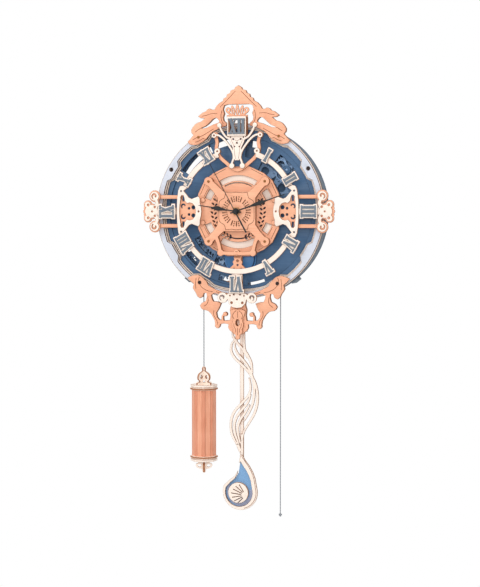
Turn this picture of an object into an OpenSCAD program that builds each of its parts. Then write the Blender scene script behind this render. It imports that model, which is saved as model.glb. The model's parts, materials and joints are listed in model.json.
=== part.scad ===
// Wall clock of laser-cut plywood layers with a quartz dial, a weight-driven wheel train,
// a pendulum and a pull cord. Front faces -Y, the wall plane is y = 0, +Z is up.
// The origin is the centre of the hanging hole in the back plate.

/* [Case] */
// Radius of the pale blue ring face
ring_r = 123.5; // [118:0.5:130]
// How far the cream backing stands out past the ring face
backing_lip = 1.5; // [0.5:0.5:3]
// Height of the dial centre below the hanging hole
hang_drop = 102; // [98:1:106]
// Thickness of a thick plywood layer
ply = 3; // [2.8:0.1:3.2]
// Thickness of a thin plywood layer
thin_ply = 1.5; // [1:0.1:2]
// Free depth between the back plate and the front plate
case_gap = 21; // [20:0.5:23]
// Thickness of the bent rim strip
rim_wall = 3; // [2:0.5:4]
// Half angle of the opening in the rim at the bottom
rim_gap_half = 39; // [34:1:44]
// Radius of the hanging hole
hang_hole_r = 4; // [2.5:0.5:5]
// Radius of the pillars inside the case
pillar_r = 3.5; // [2.5:0.5:4.5]

/* [Dial] */
// Middle radius of the numeral band
dial_r = 85; // [83:0.5:87]
// Width of the numeral band
dial_band = 7.5; // [6:0.5:9]
// Height of an ordinary numeral
numeral_h = 19; // [16:0.5:21]
// Height of the four large numerals
cardinal_h = 22; // [20:0.5:24]
// Border of a plaque round its numeral
plaque_rim = 1.9; // [1.2:0.1:2.4]
// Distance of the ordinary numerals from the dial centre
numeral_r = 90.5; // [88:0.5:93]
// Height of the rails between ring and dial
rail_h = 5.5; // [4:0.5:7]
// Depth of the rails and blocks that lift the dial off the ring
dial_lift = 6; // [5:0.5:8]
// Half width of the central medallion
medallion_half = 60; // [57:0.5:62]

/* [Hands] */
// Reach of the hour hand
hour_reach = 57; // [45:1:60]
// Reach of the minute hand
minute_reach = 77; // [65:1:80]
// Reach of the second hand
second_reach = 78; // [60:1:80]
// Clock time shown: hours turned past twelve, in degrees
hour_angle = 279; // [0:1:359]
// Clock time shown: minutes, in degrees
minute_angle = 71.5; // [0:0.5:359]
// Clock time shown: seconds, in degrees
second_angle = 331; // [0:1:359]
// Side of the square quartz movement
movement_side = 56; // [54:0.5:57]
// Depth of the quartz movement
movement_depth = 16; // [14.5:0.5:17]

/* [Wheels] */
// Tooth module of the train
tooth_m = 1.6; // [1.5:0.05:1.7]
// Teeth of the great wheel
great_teeth = 96; // [92:2:98]
// Teeth of the second and third wheels
train_teeth = 28; // [26:1:28]
// Leaves of the train pinions
pinion_leaves = 10; // [9:1:11]
// Leaves of the first pinion, in mesh with the great wheel
first_leaves = 12; // [11:1:13]
// Teeth of the escape wheel
escape_teeth = 15; // [12:1:18]
// Tip radius of the escape wheel
escape_r = 16; // [13:0.5:17]
// Radius of the arbors
arbor_r = 2; // [1.5:0.25:2.5]
// Running clearance round an arbor
run_gap = 0.06; // [0.03:0.01:0.1]
// Outer radius of the fixed collar that the great wheel runs on
collar_r = 45; // [43.5:0.5:46]
// Wall of the collar
collar_wall = 4; // [3:0.5:4.5]

/* [Cords] */
// Distance of each hanging cord from the centre line
cord_x = 57.5; // [56:0.5:58.5]
// Diameter of the cords
cord_d = 1.4; // [1:0.1:1.8]
// Height of the weight's top end below the dial centre
weight_drop = 224; // [200:1:260]
// Height of the pull cord's free end below the dial centre
pull_drop = 436; // [380:1:460]

/* [Weight] */
// Radius of the weight's wooden tube
tube_r = 17.5; // [15:0.5:18]
// Length of the weight's wooden tube
tube_len = 96; // [80:1:110]
// Radius of the weight's caps
cap_r = 20; // [18.5:0.5:20]

/* [Pendulum] */
// Swing of the pendulum to each side, in degrees
swing = 1.8; // [1:0.1:2]
// Height of the pendulum pivot below the dial centre
pivot_drop = 90; // [88:0.5:92]
// Height of the bob's centre below the dial centre
bob_drop = 404; // [402:1:420]
// Radius of the bob
bob_r = 26; // [24:0.5:28]

/* [Hidden] */
// Depths, measured forward from the wall
back_front = ply;
front_plate_d = back_front + case_gap;
plate_ring_d = front_plate_d + ply;
inner_liner_d = plate_ring_d + thin_ply;
backing_d = inner_liner_d + thin_ply;
ring_d = backing_d + ply;
face_d = ring_d + ply;
dial_d = face_d + dial_lift;
plaque_d = dial_d + ply;
plaque_t = 2;
inlay_d = plaque_d + plaque_t;
inlay_t = thin_ply;
ornament_t = ply;
medallion_d = face_d;
underlay_d = medallion_d - thin_ply;
riser_d = medallion_d + ply;
riser_t = 5.5;
medallion_face_d = riser_d + riser_t;
panel_front_d = medallion_face_d + ply;

// Inner outline of the ring: angle from the top half, and step below the largest radius
ring_hollow_r = ring_r - 3.5;
top_steps = [[93, 0], [110, 0], [115, 7], [125, 6], [128, 3], [142, 3], [145, 9], [155, 8.5],
    [158, 3.5], [177, 5]];
low_steps = [[183, 5], [202, 3.5], [205, 8.5], [215, 9], [218, 3], [232, 3], [236, 9], [245, 8],
    [250, 5], [267, 6]];
backing_step = 1.8;
liner_step = 3.6;
plate_ring_inner = 106;

// Cords and pulley
cord_plane = 20.5;
pulley_w = 6;
groove_w = 3;
flange_lip = 3;
cord_gap = 0.2;
groove_r = cord_x - cord_d / 2 - cord_gap;

// Train geometry
clear = 0.4;
great_d = 13.4;
wheel_t = ply;
great_pitch_r = great_teeth * tooth_m / 2;
first_pitch_r = first_leaves * tooth_m / 2;
train_pitch_r = train_teeth * tooth_m / 2;
pinion_pitch_r = pinion_leaves * tooth_m / 2;
arbor_orbit = great_pitch_r + first_pitch_r;
train_step = 2 * asin((train_pitch_r + pinion_pitch_r) / (2 * arbor_orbit));
escape_angle = 252;
third_angle = escape_angle - train_step;
second_angle_pos = third_angle - train_step;
top_teeth = 16;
top_pitch_r = top_teeth * tooth_m / 2;
top_angle = 41;
top_orbit = great_pitch_r + top_pitch_r;
second_pos = polar(arbor_orbit, second_angle_pos);
third_pos = polar(arbor_orbit, third_angle);
escape_pos = polar(arbor_orbit, escape_angle);
top_pos = polar(top_orbit, top_angle);
pivot_pos = [0, -pivot_drop];
second_wheel_d = 8.6;
third_wheel_d = 4;
escape_d = 18.2;
arbor_list = [second_pos, third_pos, escape_pos, top_pos, pivot_pos];

// Colours
steel_blue = "#3D5F88";
pale_blue = "#D9E0F0";
rim_grey = "#5E6E7E";
peach = "#F9B384";
cream = "#FFEEDD";
numeral_grey = "#707A88";

// Point helpers
function polar(r, a) = [r * cos(a), r * sin(a)];
function arc_pts(r, a0, a1, n) = [for (i = [0:n]) polar(r, a0 + (a1 - a0) * i / n)];
function wound(p) = let (c = [for (i = [0:len(p) - 1]) cross(p[i], p[(i + 1) % len(p)])])
    c * [for (x = c) 1] < 0 ? reversed(p) : p;
function move_pts(pts, v) = [for (p = pts) p + v];
function reversed(pts) = [for (i = [len(pts) - 1:-1:0]) pts[i]];
function mirrored(pts) = [for (p = reversed(pts)) [-p[0], p[1]]];
// A curve through the points, closed, with n steps from each to the next
function catmull(a, b, c, d, t) = 0.5 * ((2 * b) + (c - a) * t + (2 * a - 5 * b + 4 * c - d) * t * t
    + (3 * b - a - 3 * c + d) * t * t * t);
function rounded_loop(p, n = 3) = let (k = len(p)) [for (i = [0:k - 1]) for (j = [0:n - 1])
    catmull(p[(i + k - 1) % k], p[i], p[(i + 1) % k], p[(i + 2) % k], j / n)];
// A curve through the points, open
function rounded_line(p, n = 4) = let (k = len(p)) concat([for (i = [0:k - 2]) for (j = [0:n - 1])
    catmull(p[max(i - 1, 0)], p[i], p[i + 1], p[min(i + 2, k - 1)], j / n)], [p[k - 1]]);
// A ribbon of changing width along an open curve; widths are given at the same points
function normal_at(p, i) = let (a = p[max(i - 1, 0)], b = p[min(i + 1, len(p) - 1)], d = b - a)
    [-d[1], d[0]] / norm(d);
function ribbon(p, w) = concat([for (i = [0:len(p) - 1]) p[i] + normal_at(p, i) * w[i] / 2],
    [for (i = [len(p) - 1:-1:0]) p[i] - normal_at(p, i) * w[i] / 2]);
function eased(w, k) = [for (i = [0:k - 1]) let (s = i / (k - 1) * (len(w) - 1), j = min(floor(s),
    len(w) - 2)) w[j] + (w[j + 1] - w[j]) * (s - j)];
function stroke(points, widths, n = 4) = let (c = rounded_line(points, n)) ribbon(c, eased(widths, len(c)));
// A scroll that winds in from radius r0 at angle a0 over the turns, given in degrees
function spiral(c, r0, r1, a0, sweep, n = 14) = [for (i = [0:n]) c + polar(r0 + (r1 - r0) * i / n,
    a0 + sweep * i / n)];
// Teeth as plain wooden wheels have them, one tooth centred on the phase angle
function wheel_pts(n, m, phase) = [for (i = [0:n - 1]) let (a = phase + i * 360 / n, p = 360 / n,
    ro = n * m / 2 + 0.75 * m, ri = n * m / 2 - 1.05 * m) each [polar(ri, a - 0.29 * p),
    polar(ro, a - 0.1 * p), polar(ro, a + 0.1 * p), polar(ri, a + 0.29 * p)]];
// Phase of a follower whose teeth meet a driver's teeth, at the angle where it stands
function mesh_phase(n_driver, n_follower, at, driver_phase) = at + 180 + 180 / n_follower
    + (at - driver_phase) * n_driver / n_follower;

function eight(h, c) = [[-c, h], [-h, c], [-h, -c], [-c, -h], [c, -h], [h, -c], [h, c], [c, h]];
function oval(c, rx, rz, n = 24) = [for (i = [0:n - 1]) c + [rx * cos(i * 360 / n), rz * sin(i * 360 / n)]];

// The stepped outline inside the ring, drawn in by step
function step_run(steps, drop) = [for (i = [0:len(steps) - 1]) let (s = steps[i], e = steps[min(i + 1,
    len(steps) - 1)], k = e[0] - s[0] > 6 ? 4 : 1) for (j = [0:k - 1]) polar(ring_hollow_r - drop
    - s[1] + (s[1] - e[1]) * j / k, s[0] + (e[0] - s[0]) * j / k)];
function ring_hollow(drop) = let (left = concat(step_run(top_steps, drop), step_run(low_steps, drop)))
    concat(left, mirrored(left));

// A flat layer at a depth from the wall, drawn round the dial centre
module layer(d, t) {
    translate([0, -d, -hang_drop]) rotate([90, 0, 0]) linear_extrude(height = t) children();
}
// A round bar or bore along the depth
module bar(p, d0, d1, r) {
    translate([p[0], -d0, p[1] - hang_drop]) rotate([90, 0, 0]) cylinder(r = r, h = d1 - d0, $fn = 48);
}
// A filled outline, always wound the same way, and the same with its mirror image beside it
module shape(p) {
    polygon(wound(p));
}
module twin(p) {
    shape(p);
    shape(mirrored(p));
}
module pair() {
    children();
    mirror([1, 0]) children();
}
module both_dots(p, r) {
    for (x = [-1, 1]) dot([x * p[0], p[1]], r);
}
module dot(p, r) {
    translate(p) circle(r = r, $fn = r > 20 ? 192 : 32);
}

// Windows cut right through the back plate: long arcs beside the dial band
module arc_window(r, w, a0, a1) {
    shape(concat(arc_pts(r + w / 2, a0, a1, 8), arc_pts(r - w / 2, a1, a0, 8)));
}
back_windows = [[99, 17, 114, 152], [98, 15, 210, 236], [101, 12, 98, 118], [99, 12, 250, 268],
    [106, 11, 274, 294], [97, 9, 74, 84]];
plate_r = ring_r - 0.5;

module back_plate() {
    color(steel_blue) difference() {
        layer(0, ply) difference() {
            dot([0, 0], plate_r);
            for (w = back_windows) arc_window(w[0], w[1], w[2], w[3]);
        }
        bar([0, 0], -1, ply + 1, collar_r - collar_wall);
        bar([0, hang_drop], -1, ply + 1, hang_hole_r);
        for (p = arbor_list) bar(p, -1, ply + 1, arbor_r + run_gap);
    }
}
// The bent strip round the case, open at the bottom where pendulum and cords hang out
module rim_band() {
    color(rim_grey) {
        layer(ply, backing_d - ply) shape(concat(
            arc_pts(plate_r - 0.5, rim_gap_half - 90, 270 - rim_gap_half, 72),
            arc_pts(plate_r - 0.5 - rim_wall, 270 - rim_gap_half, rim_gap_half - 90, 72)));
        for (side = [-1, 1]) layer(ply, backing_d - ply) rotate(side * rim_gap_half)
            translate([0, -plate_r - 1]) square([9, 7], center = true);
    }
}
pillar_spots = [for (a = [12, 62, 118, 168, 197, 343]) polar(112, a)];
module case_pillars() {
    color("tan") for (p = pillar_spots) bar(p, ply, front_plate_d, pillar_r);
}
module bearing_collar() {
    color("tan") difference() {
        bar([0, 0], ply, front_plate_d, collar_r);
        bar([0, 0], 0, front_plate_d + 1, collar_r - collar_wall);
    }
}
front_windows = [[100, 12, 116, 146], [98, 10, 214, 236], [100, 9, 98, 111], [99, 8, 251, 264],
    [106, 8, 276, 290], [70, 13, 20, 66], [72, 15, 210, 238], [92, 14, 36, 54], [76, 13, 241, 262],
    [90, 24, 73, 85]];
arbor_boss_r = 6;
movement_gap = 0.4;
module front_plate() {
    color(steel_blue) difference() {
        layer(front_plate_d, ply) difference() {
            dot([0, 0], plate_r - 0.5 - rim_wall - clear);
            difference() {
                union() {
                    for (w = front_windows) arc_window(w[0], w[1], w[2], w[3]);
                }
                for (p = arbor_list) dot(p, arbor_boss_r);
            }
            square(movement_side + 2 * movement_gap, center = true);
        }
        for (p = arbor_list) bar(p, front_plate_d - 1, front_plate_d + ply + 1, arbor_r + run_gap);
    }
}
module plate_ring() {
    color(steel_blue) layer(plate_ring_d, thin_ply) difference() {
        dot([0, 0], plate_r - 0.5 - rim_wall - clear);
        dot([0, 0], plate_ring_inner);
    }
}
module stepped_ring(d, t, r, drop) {
    layer(d, t) difference() {
        dot([0, 0], r);
        shape(ring_hollow(drop));
    }
}
module inner_liner() {
    color(cream) stepped_ring(inner_liner_d, thin_ply, plate_r - 0.5 - rim_wall - clear, liner_step);
}
module ring_backing() {
    color(cream) stepped_ring(backing_d, ply, ring_r + backing_lip, backing_step);
}
screw_r = 1.6;
screw_head_r = 2.8;
ring_screw_spots = [[-101.5, 60], [101.5, 60], [-57.8, -101.6], [57.8, -101.6]];
crest_screw_spots = [[-59.4, 105.6], [59.4, 105.6]];
module front_ring() {
    color(pale_blue) difference() {
        stepped_ring(ring_d, ply, ring_r, 0);
        for (i = [0, 1]) bar(ring_screw_spots[i], ring_d - 1, face_d + 1, screw_head_r + 0.1);
    }
}
// Screws through the face: two sunk in the ring, the others on the ornaments
module face_screws() {
    color("dimgray") {
        for (i = [0, 1]) bar(ring_screw_spots[i], ring_d, face_d - 1, screw_head_r);
        for (i = [2, 3]) bar(ring_screw_spots[i], face_d + ornament_t, face_d + ornament_t + 1, screw_head_r);
        for (p = crest_screw_spots) bar(p, face_d + ornament_t, face_d + ornament_t + 1, screw_head_r);
        for (x = [-1, 1]) for (z = [-1, 1]) {
            bar([x * med_screw[0], z * med_screw[1]], medallion_d, panel_front_d, screw_r);
            bar([x * med_screw[0], z * med_screw[1]], panel_front_d, panel_front_d + 1, screw_head_r);
        }
    }
}

// Crest: a scalloped gable over two pairs of sweeping leaves, cut through between them
crest_edge = [[4.5, 175.2], [6, 172.4], [11, 171], [12.4, 167.4], [16.6, 165.5], [17.6, 161.6],
    [21.5, 160], [23, 156.2], [28, 153.5], [32.5, 149.2], [35, 144.8], [38.5, 144], [42.6, 146],
    [46, 144.8], [48.5, 142], [53, 140.6], [56.5, 137.8], [60, 135.2], [56, 132.6], [50, 132.2],
    [55, 127.8], [60, 126.4], [64.5, 124], [67.6, 120.4], [70.2, 116.2], [70, 112.2], [67, 108.8],
    [70.8, 104.2], [75.6, 99.4], [72.6, 95.6], [66, 94.4], [60, 95], [52.5, 99], [46.5, 104.2],
    [42.5, 109], [38.5, 112.8], [33, 115.4], [28.6, 117.6], [24, 119.5], [17.5, 121], [17, 124.5],
    [21.5, 128.5], [22.4, 133], [20.6, 138.5], [22.6, 144.5], [21, 149.6], [16, 151.4], [10, 151.2]];
crest_slot = [[28, 126.8], [32.5, 132.6], [37.6, 130.8], [42.5, 126], [48.5, 121.4], [55.5, 118.4],
    [49, 118.4], [42, 121.2], [36, 123.8]];
function symmetric(top, side) = reversed(concat([top], side, mirrored(side)));
module crest_2d() {
    difference() {
        shape(symmetric([0, 178], crest_edge));
        twin(rounded_loop(crest_slot));
    }
}
// Ornaments are two layers thick where they stand out past the ring
module past_ring() {
    difference() {
        children();
        dot([0, 0], ring_r + clear);
    }
}
module crest() {
    color(peach) {
        layer(face_d, ornament_t) crest_2d();
        layer(ring_d, ply) past_ring() crest_2d();
    }
}
// The crown of petals that stands over the twelve
block_w = 28;
block_wall = 3;
twelve_z = 120;
block_h = cardinal_h + 4;
block_top = twelve_z + block_h / 2;
crown_z = block_top + 1.5;
module petal(a, reach, w) {
    rotate(a) shape(rounded_loop([[0, 0], [w * 0.5, reach * 0.35], [w * 0.42, reach * 0.75],
        [0, reach], [-w * 0.42, reach * 0.75], [-w * 0.5, reach * 0.35]], 3));
}
module crest_crown() {
    color(peach) {
        layer(face_d, dial_lift) translate([0, crown_z]) square([26, 3], center = true);
        layer(dial_d, thin_ply) difference() {
            union() {
                for (i = [-1:1]) translate([i * 4.6, crown_z]) petal(-i * 13, 17 - abs(i) * 1.4, 5.6);
                twin(stroke([[5, crown_z], [10, crown_z + 2.5], [14.4, crown_z + 6]], [3, 3, 3.6]));
                both_dots([13.6, crown_z + 8.5], 4);
                translate([0, crown_z]) square([31, 3], center = true);
            }
            both_dots([13.6, crown_z + 8.5], hole_r);
            for (i = [-1:1]) translate([i * 5.2, crown_z + 2]) rotate(-i * 13) translate([0, 5])
                square([0.9, 7], center = true);
        }
    }
}
module twelve_block() {
    color(peach) layer(face_d, dial_lift + ply) translate([0, twelve_z]) difference() {
        square([block_w, block_h], center = true);
        square([block_w - 2 * block_wall, block_h - 2 * block_wall], center = true);
    }
}

// Roman numerals from three letters; heavy strokes lean one way and light ones the other
heavy = 0.17;
light = 0.08;
serif = 0.1;
serif_w = 0.28;
glyph_w = [["I", 0.26], ["V", 0.6], ["X", 0.6]];
function width_of(c) = [for (g = glyph_w) if (g[0] == c) g[1]][0];
function text_w(s, n) = n <= 0 ? 0 : width_of(s[n - 1]) + text_w(s, n - 1);
module slant(x0, x1, w, h, grow) {
    v = [x1 - x0, h];
    n = [v[1], -v[0]] / norm(v) * (w / 2 + grow);
    shape([[x0, -grow] - n, [x0, -grow] + n, [x1, h + grow] + n, [x1, h + grow] - n]);
}
module foot(x, z, w, h, grow) {
    translate([x, z]) square([w * h + 2 * grow, serif * h + 2 * grow], center = true);
}
module glyph(c, h, grow) {
    w = width_of(c) * h;
    low = serif * h / 2;
    if (c == "I") {
        slant(w / 2, w / 2, heavy * h, h, grow);
        for (z = [low, h - low]) foot(w / 2, z, width_of(c), h, grow);
    } else if (c == "V") {
        slant(w * 0.52, w * 0.22, heavy * h, h, grow);
        slant(w * 0.48, w * 0.82, light * h, h, grow);
        for (x = [0.24, 0.8]) foot(w * x, h - low, serif_w, h, grow);
    } else {
        slant(w * 0.76, w * 0.24, heavy * h, h, grow);
        slant(w * 0.22, w * 0.78, light * h, h, grow);
        for (x = [0.24, 0.76]) for (z = [low, h - low]) foot(w * x, z, serif_w, h, grow);
    }
}
module word(s, h, grow) {
    translate([-text_w(s, len(s)) * h / 2, -h / 2]) for (i = [0:len(s) - 1])
        translate([text_w(s, i) * h, 0]) glyph(s[i], h, grow);
}
hour_names = ["XII", "I", "II", "III", "IV", "V", "VI", "VII", "VIII", "IX", "X", "XI"];
cardinal_r = [twelve_z, 0, 0, 104.8, 0, 0, 103.3, 0, 0, 104.8, 0, 0];
function is_cardinal(k) = k % 3 == 0;
function numeral_size(k) = is_cardinal(k) ? cardinal_h : numeral_h;
function numeral_at(k) = is_cardinal(k) ? cardinal_r[k] : numeral_r;
module at_hour(k) {
    rotate(-30 * k) translate([0, numeral_at(k)]) children();
}
// The twelve stands in a square border, the other large numerals on plaques of their own outline
module cardinal_plaques() {
    border = [block_w, block_w];
    color(cream) {
        layer(plaque_d, plaque_t) at_hour(0) {
            difference() {
                square(border, center = true);
                square(border - [2, 2] * plaque_rim, center = true);
            }
            word(hour_names[0], cardinal_h, 0.4);
            for (z = [-1, 1]) translate([0, z * (cardinal_h + 2) / 2]) square([block_w - 2, 2.4], center = true);
        }
        for (k = [3, 6, 9]) layer(plaque_d, plaque_t) at_hour(k) word(hour_names[k], cardinal_h, plaque_rim);
    }
}
module hour_plaques() {
    color(cream) for (k = [1, 2, 4, 5, 7, 8, 10, 11]) layer(plaque_d, plaque_t) at_hour(k)
        word(hour_names[k], numeral_h, plaque_rim);
}
module numeral_inlays() {
    color(numeral_grey) for (k = [0:11]) layer(inlay_d, inlay_t) at_hour(k)
        word(hour_names[k], numeral_size(k), 0);
}

// Numeral band in three arcs between the side brackets, with a screwed eyelet at each top end
band_open = 19;
bracket_half = 25;
eyelet_r = 4.4;
hole_r = 1.2;
eyelet_pos = polar(dial_r + 5, 90 - band_open);
module band_arc(a0, a1, n) {
    shape(concat(arc_pts(dial_r + dial_band / 2, a0, a1, n), arc_pts(dial_r - dial_band / 2, a1, a0, n)));
}
module dial_ring() {
    color(cream) layer(dial_d, ply) {
        band_arc(180 + bracket_half, 360 - bracket_half, 48);
        difference() {
            union() {
                band_arc(bracket_half, 90 - band_open, 20);
                band_arc(90 + band_open, 180 - bracket_half, 20);
                both_dots(eyelet_pos, eyelet_r);
            }
            both_dots(eyelet_pos, hole_r);
        }
    }
}
// The heart-shaped frame behind the scroll over the medallion
heart_line = [[33, 108], [30.5, 98], [31.5, 88], [26, 77], [16, 68], [8, 61.5], [0, 58.5]];
heart_d = dial_d - ply;
function arch_line(side) = concat([for (i = [0:len(side) - 2]) side[i]], [side[len(side) - 1]],
    [for (i = [len(side) - 2:-1:0]) [-side[i][0], side[i][1]]]);
module heart_frame() {
    color(peach) layer(heart_d, ply) {
        shape(let (c = rounded_line(arch_line(heart_line), 4)) ribbon(c, [for (q = c) 5]));
        both_dots(heart_line[0], eyelet_r);
        both_dots(eyelet_pos, eyelet_r);
    }
}
// The cream scroll: two arms that meet at a narrow waist, and a pierced plate under the twelve
block_foot = twelve_z - block_h / 2;
scroll_arm = [[34.1, 107.5], [28, 107.8], [20, 102.5], [12, 93], [6.5, 84], [5, 76], [7.2, 69], [7.8, 64.4]];
scroll_twig = [[26.2, 121.7], [22.5, 113.5], [16.5, 105.5], [9, 101.5]];
module heart_scroll() {
    color(cream) layer(dial_d, ply) difference() {
        union() {
            twin(stroke(scroll_arm, [3.2, 3, 3, 3, 3, 3, 3, 3.2]));
            twin(stroke(scroll_twig, [2.6, 3, 3, 3]));
            both_dots(scroll_arm[0], 3.6);
            both_dots(scroll_arm[7], 3.9);
            both_dots(scroll_twig[0], 3.4);
            shape(symmetric([0, block_foot], [[13, block_foot], [10.5, 98], [6.5, 90], [5.4, 80], [3.4, 72]]));
        }
        dot([0, 96.6], hole_r);
        both_dots(scroll_arm[0], hole_r);
        both_dots([5.5, 102], hole_r);
        both_dots([9.6, 104.6], 0.9);
        both_dots([3.4, 91.5], 0.8);
    }
}
// Rails that stand on the ring at the sides and carry the numeral band and the side scrolls
rail_z = 20.6;
rail_in = 84;
rail_out = 127;
module side_rails() {
    color(peach) for (x = [-1, 1]) for (z = [-1, 1]) layer(face_d, dial_lift)
        translate([x * (rail_in + rail_out) / 2, z * rail_z]) square([rail_out - rail_in, rail_h], center = true);
}
// Side scrolls: a broad back and a cut front, each of two curls round a scalloped flower
curl_c = [124, 21.8];
band_edge = dial_r + dial_band / 2;
tongue_from = band_edge + 1.8;
module scroll_outline(grow) {
    union() {
        for (z = [-1, 1]) {
            dot([curl_c[0], z * curl_c[1]], 6.7 + grow);
            dot([134.5, z * 9.5], 4.6 + grow);
        }
        dot([129, 0], 9.5 + grow);
        for (z = [-1, 1]) shape(stroke([[122, z * 17], [120, z * 11], [124, z * 5]], [4 + grow, 5 + grow, 8]));
    }
}
module side_scroll_backs() {
    color(peach) for (x = [0, 1]) layer(dial_d, thin_ply) mirror([x, 0]) {
        scroll_outline(1.8);
        for (i = [-2:2]) dot([139 - abs(i) * 0.9, i * 4.6], 3);
        translate([(tongue_from + 122) / 2, 0]) square([122 - tongue_from, 9], center = true);
    }
}
module curl_hole() {
    shape(stroke(spiral([0, 0], 4.3, 1.6, -60, 290, 10), [1, 2.2, 2.2, 1.4], 1));
}
module side_scrolls() {
    color(cream) for (x = [0, 1]) layer(dial_d + thin_ply, thin_ply) mirror([x, 0]) difference() {
        scroll_outline(0);
        for (z = [0, 1]) mirror([0, z]) translate(curl_c) curl_hole();
        dot([127.8, 0], hole_r);
        for (z = [-1, 1]) dot([133.6, z * 9.2], 1.8);
        for (z = [-1, 1]) dot([123.5, z * 6.4], 1.6);
    }
    color(cream) for (x = [0, 1]) layer(dial_d + thin_ply, thin_ply) mirror([x, 0])
        translate([(tongue_from + 120) / 2, 0]) square([120 - tongue_from, 9], center = true);
}
// Side brackets inside the band, with a window that a pierced plate closes from behind
bracket_end = bracket_half - 0.4;
bracket_edge = [[90.2, 6], [89.6, 18], [88, 30], [85.4, 36]];
bracket_side = [[79.8, 29.5], [71.9, 19.7], [67.5, 17.8], [63.8, 19.3], [57.5, 21.5], [55.4, 18.4],
    [55.2, 12], [53.6, 6], [53, 0]];
bracket_slot = [[84.6, 20.5], [83, 23], [80.4, 23], [78.9, 20], [78, 15], [74.6, 11.4], [70.5, 12.6],
    [66, 11.2], [62.6, 7], [61.4, 0]];
function up_down(p) = concat(p, [for (i = [len(p) - 2:-1:0]) [p[i][0], -p[i][1]]]);
module bracket_2d() {
    difference() {
        shape(up_down(concat(bracket_edge, [polar(band_edge, bracket_end),
            polar(band_edge - dial_band, bracket_end)], bracket_side)));
        shape(concat(arc_pts(dial_r + 1.2, -12, 12, 8), up_down(bracket_slot)));
        dot([57.2, 0], hole_r);
        for (z = [-1, 1]) dot([83.6, z * 29], hole_r);
    }
}
module side_brackets() {
    color(cream) for (x = [0, 1]) layer(dial_d, ply) mirror([x, 0]) bracket_2d();
}
// Pierced plate behind each window: a cross with curled arms
module bracket_filigree() {
    color(peach) for (x = [0, 1]) layer(dial_d - thin_ply, thin_ply) mirror([x, 0]) difference() {
        shape(up_down([[87, 17.4], [83.6, 17.4], [83.6, 23.9], [77.4, 23.9], [73.5, 14.5], [69, 15],
            [62, 11.5], [58.8, 5], [58.6, 0]]));
        for (z = [-1, 1]) {
            translate([81, z * 7.4]) mirror([0, z < 0 ? 1 : 0]) shape(stroke(spiral([0, 0], 3.2, 2.6, -60, 230, 8),
                [1, 2, 2, 1.2], 1));
            dot([72.6, z * 4.4], 1.7);
            dot([66, z * 5.8], 2.8);
            shape([[82.6, z * 14.5], [82.2, z * 22.4], [79.6, z * 22.4], [79.6, z * 14.5]]);
        }
    }
}
// Bottom scroll: a neck under the six and two curls round a pierced boss
module bottom_scroll() {
    color(cream) layer(dial_d, ply) difference() {
        union() {
            shape(symmetric([0, -band_edge], [[8, -band_edge - 0.4], [8, -114], [14, -117], [17, -121],
                [14, -125], [12, -131], [7, -136], [0.5, -137]]));
            both_dots([21.5, -122.5], 7.6);
        }
        dot([0, -124.6], hole_r);
        for (x = [0, 1]) mirror([x, 0]) translate([21.5, -122.5]) curl_hole();
        both_dots([4.5, -117.6], 1.3);
        both_dots([10.4, -119.4], 1.1);
        both_dots([8, -129.5], 1.7);
    }
    color(cream) layer(face_d + ornament_t, dial_lift - ornament_t) translate([0, -117.5])
        square([12, 7], center = true);
}
// Pierced post between the medallion and the six
module bottom_post() {
    color(peach) layer(heart_d, ply) difference() {
        shape(symmetric([0, -65], [[6, -65], [5, -68.6], [7.5, -71.6], [6, -75], [11, -79.6], [12.6, -85.3], [6, -89]]));
        dot([0, -70], 1.7);
        dot([0, -76], 1.4);
        both_dots([5.5, -82.6], 2);
    }
}
// Round boss on the front plate, behind the post
boss_pos = [0, -67];
module lower_boss() {
    color("#4F86BE") {
        bar(boss_pos, front_plate_d + ply, front_plate_d + ply + 1.5, 24);
        bar(boss_pos, front_plate_d + ply + 1.5, front_plate_d + 2 * ply + 1, 21);
    }
}

// Lower ornament: bands along the ring that turn into leafed stems and meet at the torso
lower_side = [[11, -117.5], [22.3, -115.5], [33.4, -111.5], [44.5, -105.7], [47.5, -99.9], [54.6, -93],
    [60, -90.6], [65.8, -91], [71, -92.6], [76, -95], [72, -99.6], [66.8, -103.7], [68.3, -109.6],
    [66, -113.5], [63.8, -116.4], [61.5, -121.5], [57.7, -124.2], [53.7, -122.2], [51.5, -117],
    [47.5, -116.6], [46.8, -121.5], [48.6, -128], [52, -129.6], [54.7, -131], [57.4, -134.9],
    [55.6, -138.6], [52.7, -140.8], [48, -141.4], [44.5, -142.7], [41, -145.8], [38.5, -149.6],
    [35.4, -155.3], [34.6, -160], [34.8, -164.1], [32.6, -166.6], [30.3, -167], [27.8, -164.6],
    [26.8, -160.9], [21, -159.8], [14.6, -160.6], [15, -165.6], [12.5, -169.6], [9, -172.2],
    [5.6, -174.5]];
lower_gap = [[13, -120], [24, -119], [36, -116.6], [40.5, -119.5], [39.4, -124.5], [37.4, -128.4],
    [31.5, -128.6], [25.6, -130.6], [27.6, -135.5], [29.6, -139.6], [32.8, -144.5], [31.6, -151],
    [28.6, -154.4], [21, -155.6], [12.6, -155], [11.5, -148], [12.5, -140], [10.5, -133], [11.5, -126]];
lower_curl = [[19.7, -146.4], [23.4, -149.4], [23.2, -156.5]];
module lower_2d() {
    difference() {
        shape(concat(lower_side, [[0, -176]], mirrored(lower_side)));
        twin(lower_gap);
        shape(oval([0, -158], 3.1, 5));
    }
    twin(stroke(lower_curl, [2.4, 2.6, 3]));
    both_dots(lower_curl[0], 3.2);
}
module lower_ornament() {
    color(peach) {
        layer(face_d, ornament_t) lower_2d();
        layer(ring_d, ply) past_ring() lower_2d();
    }
}
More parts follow.
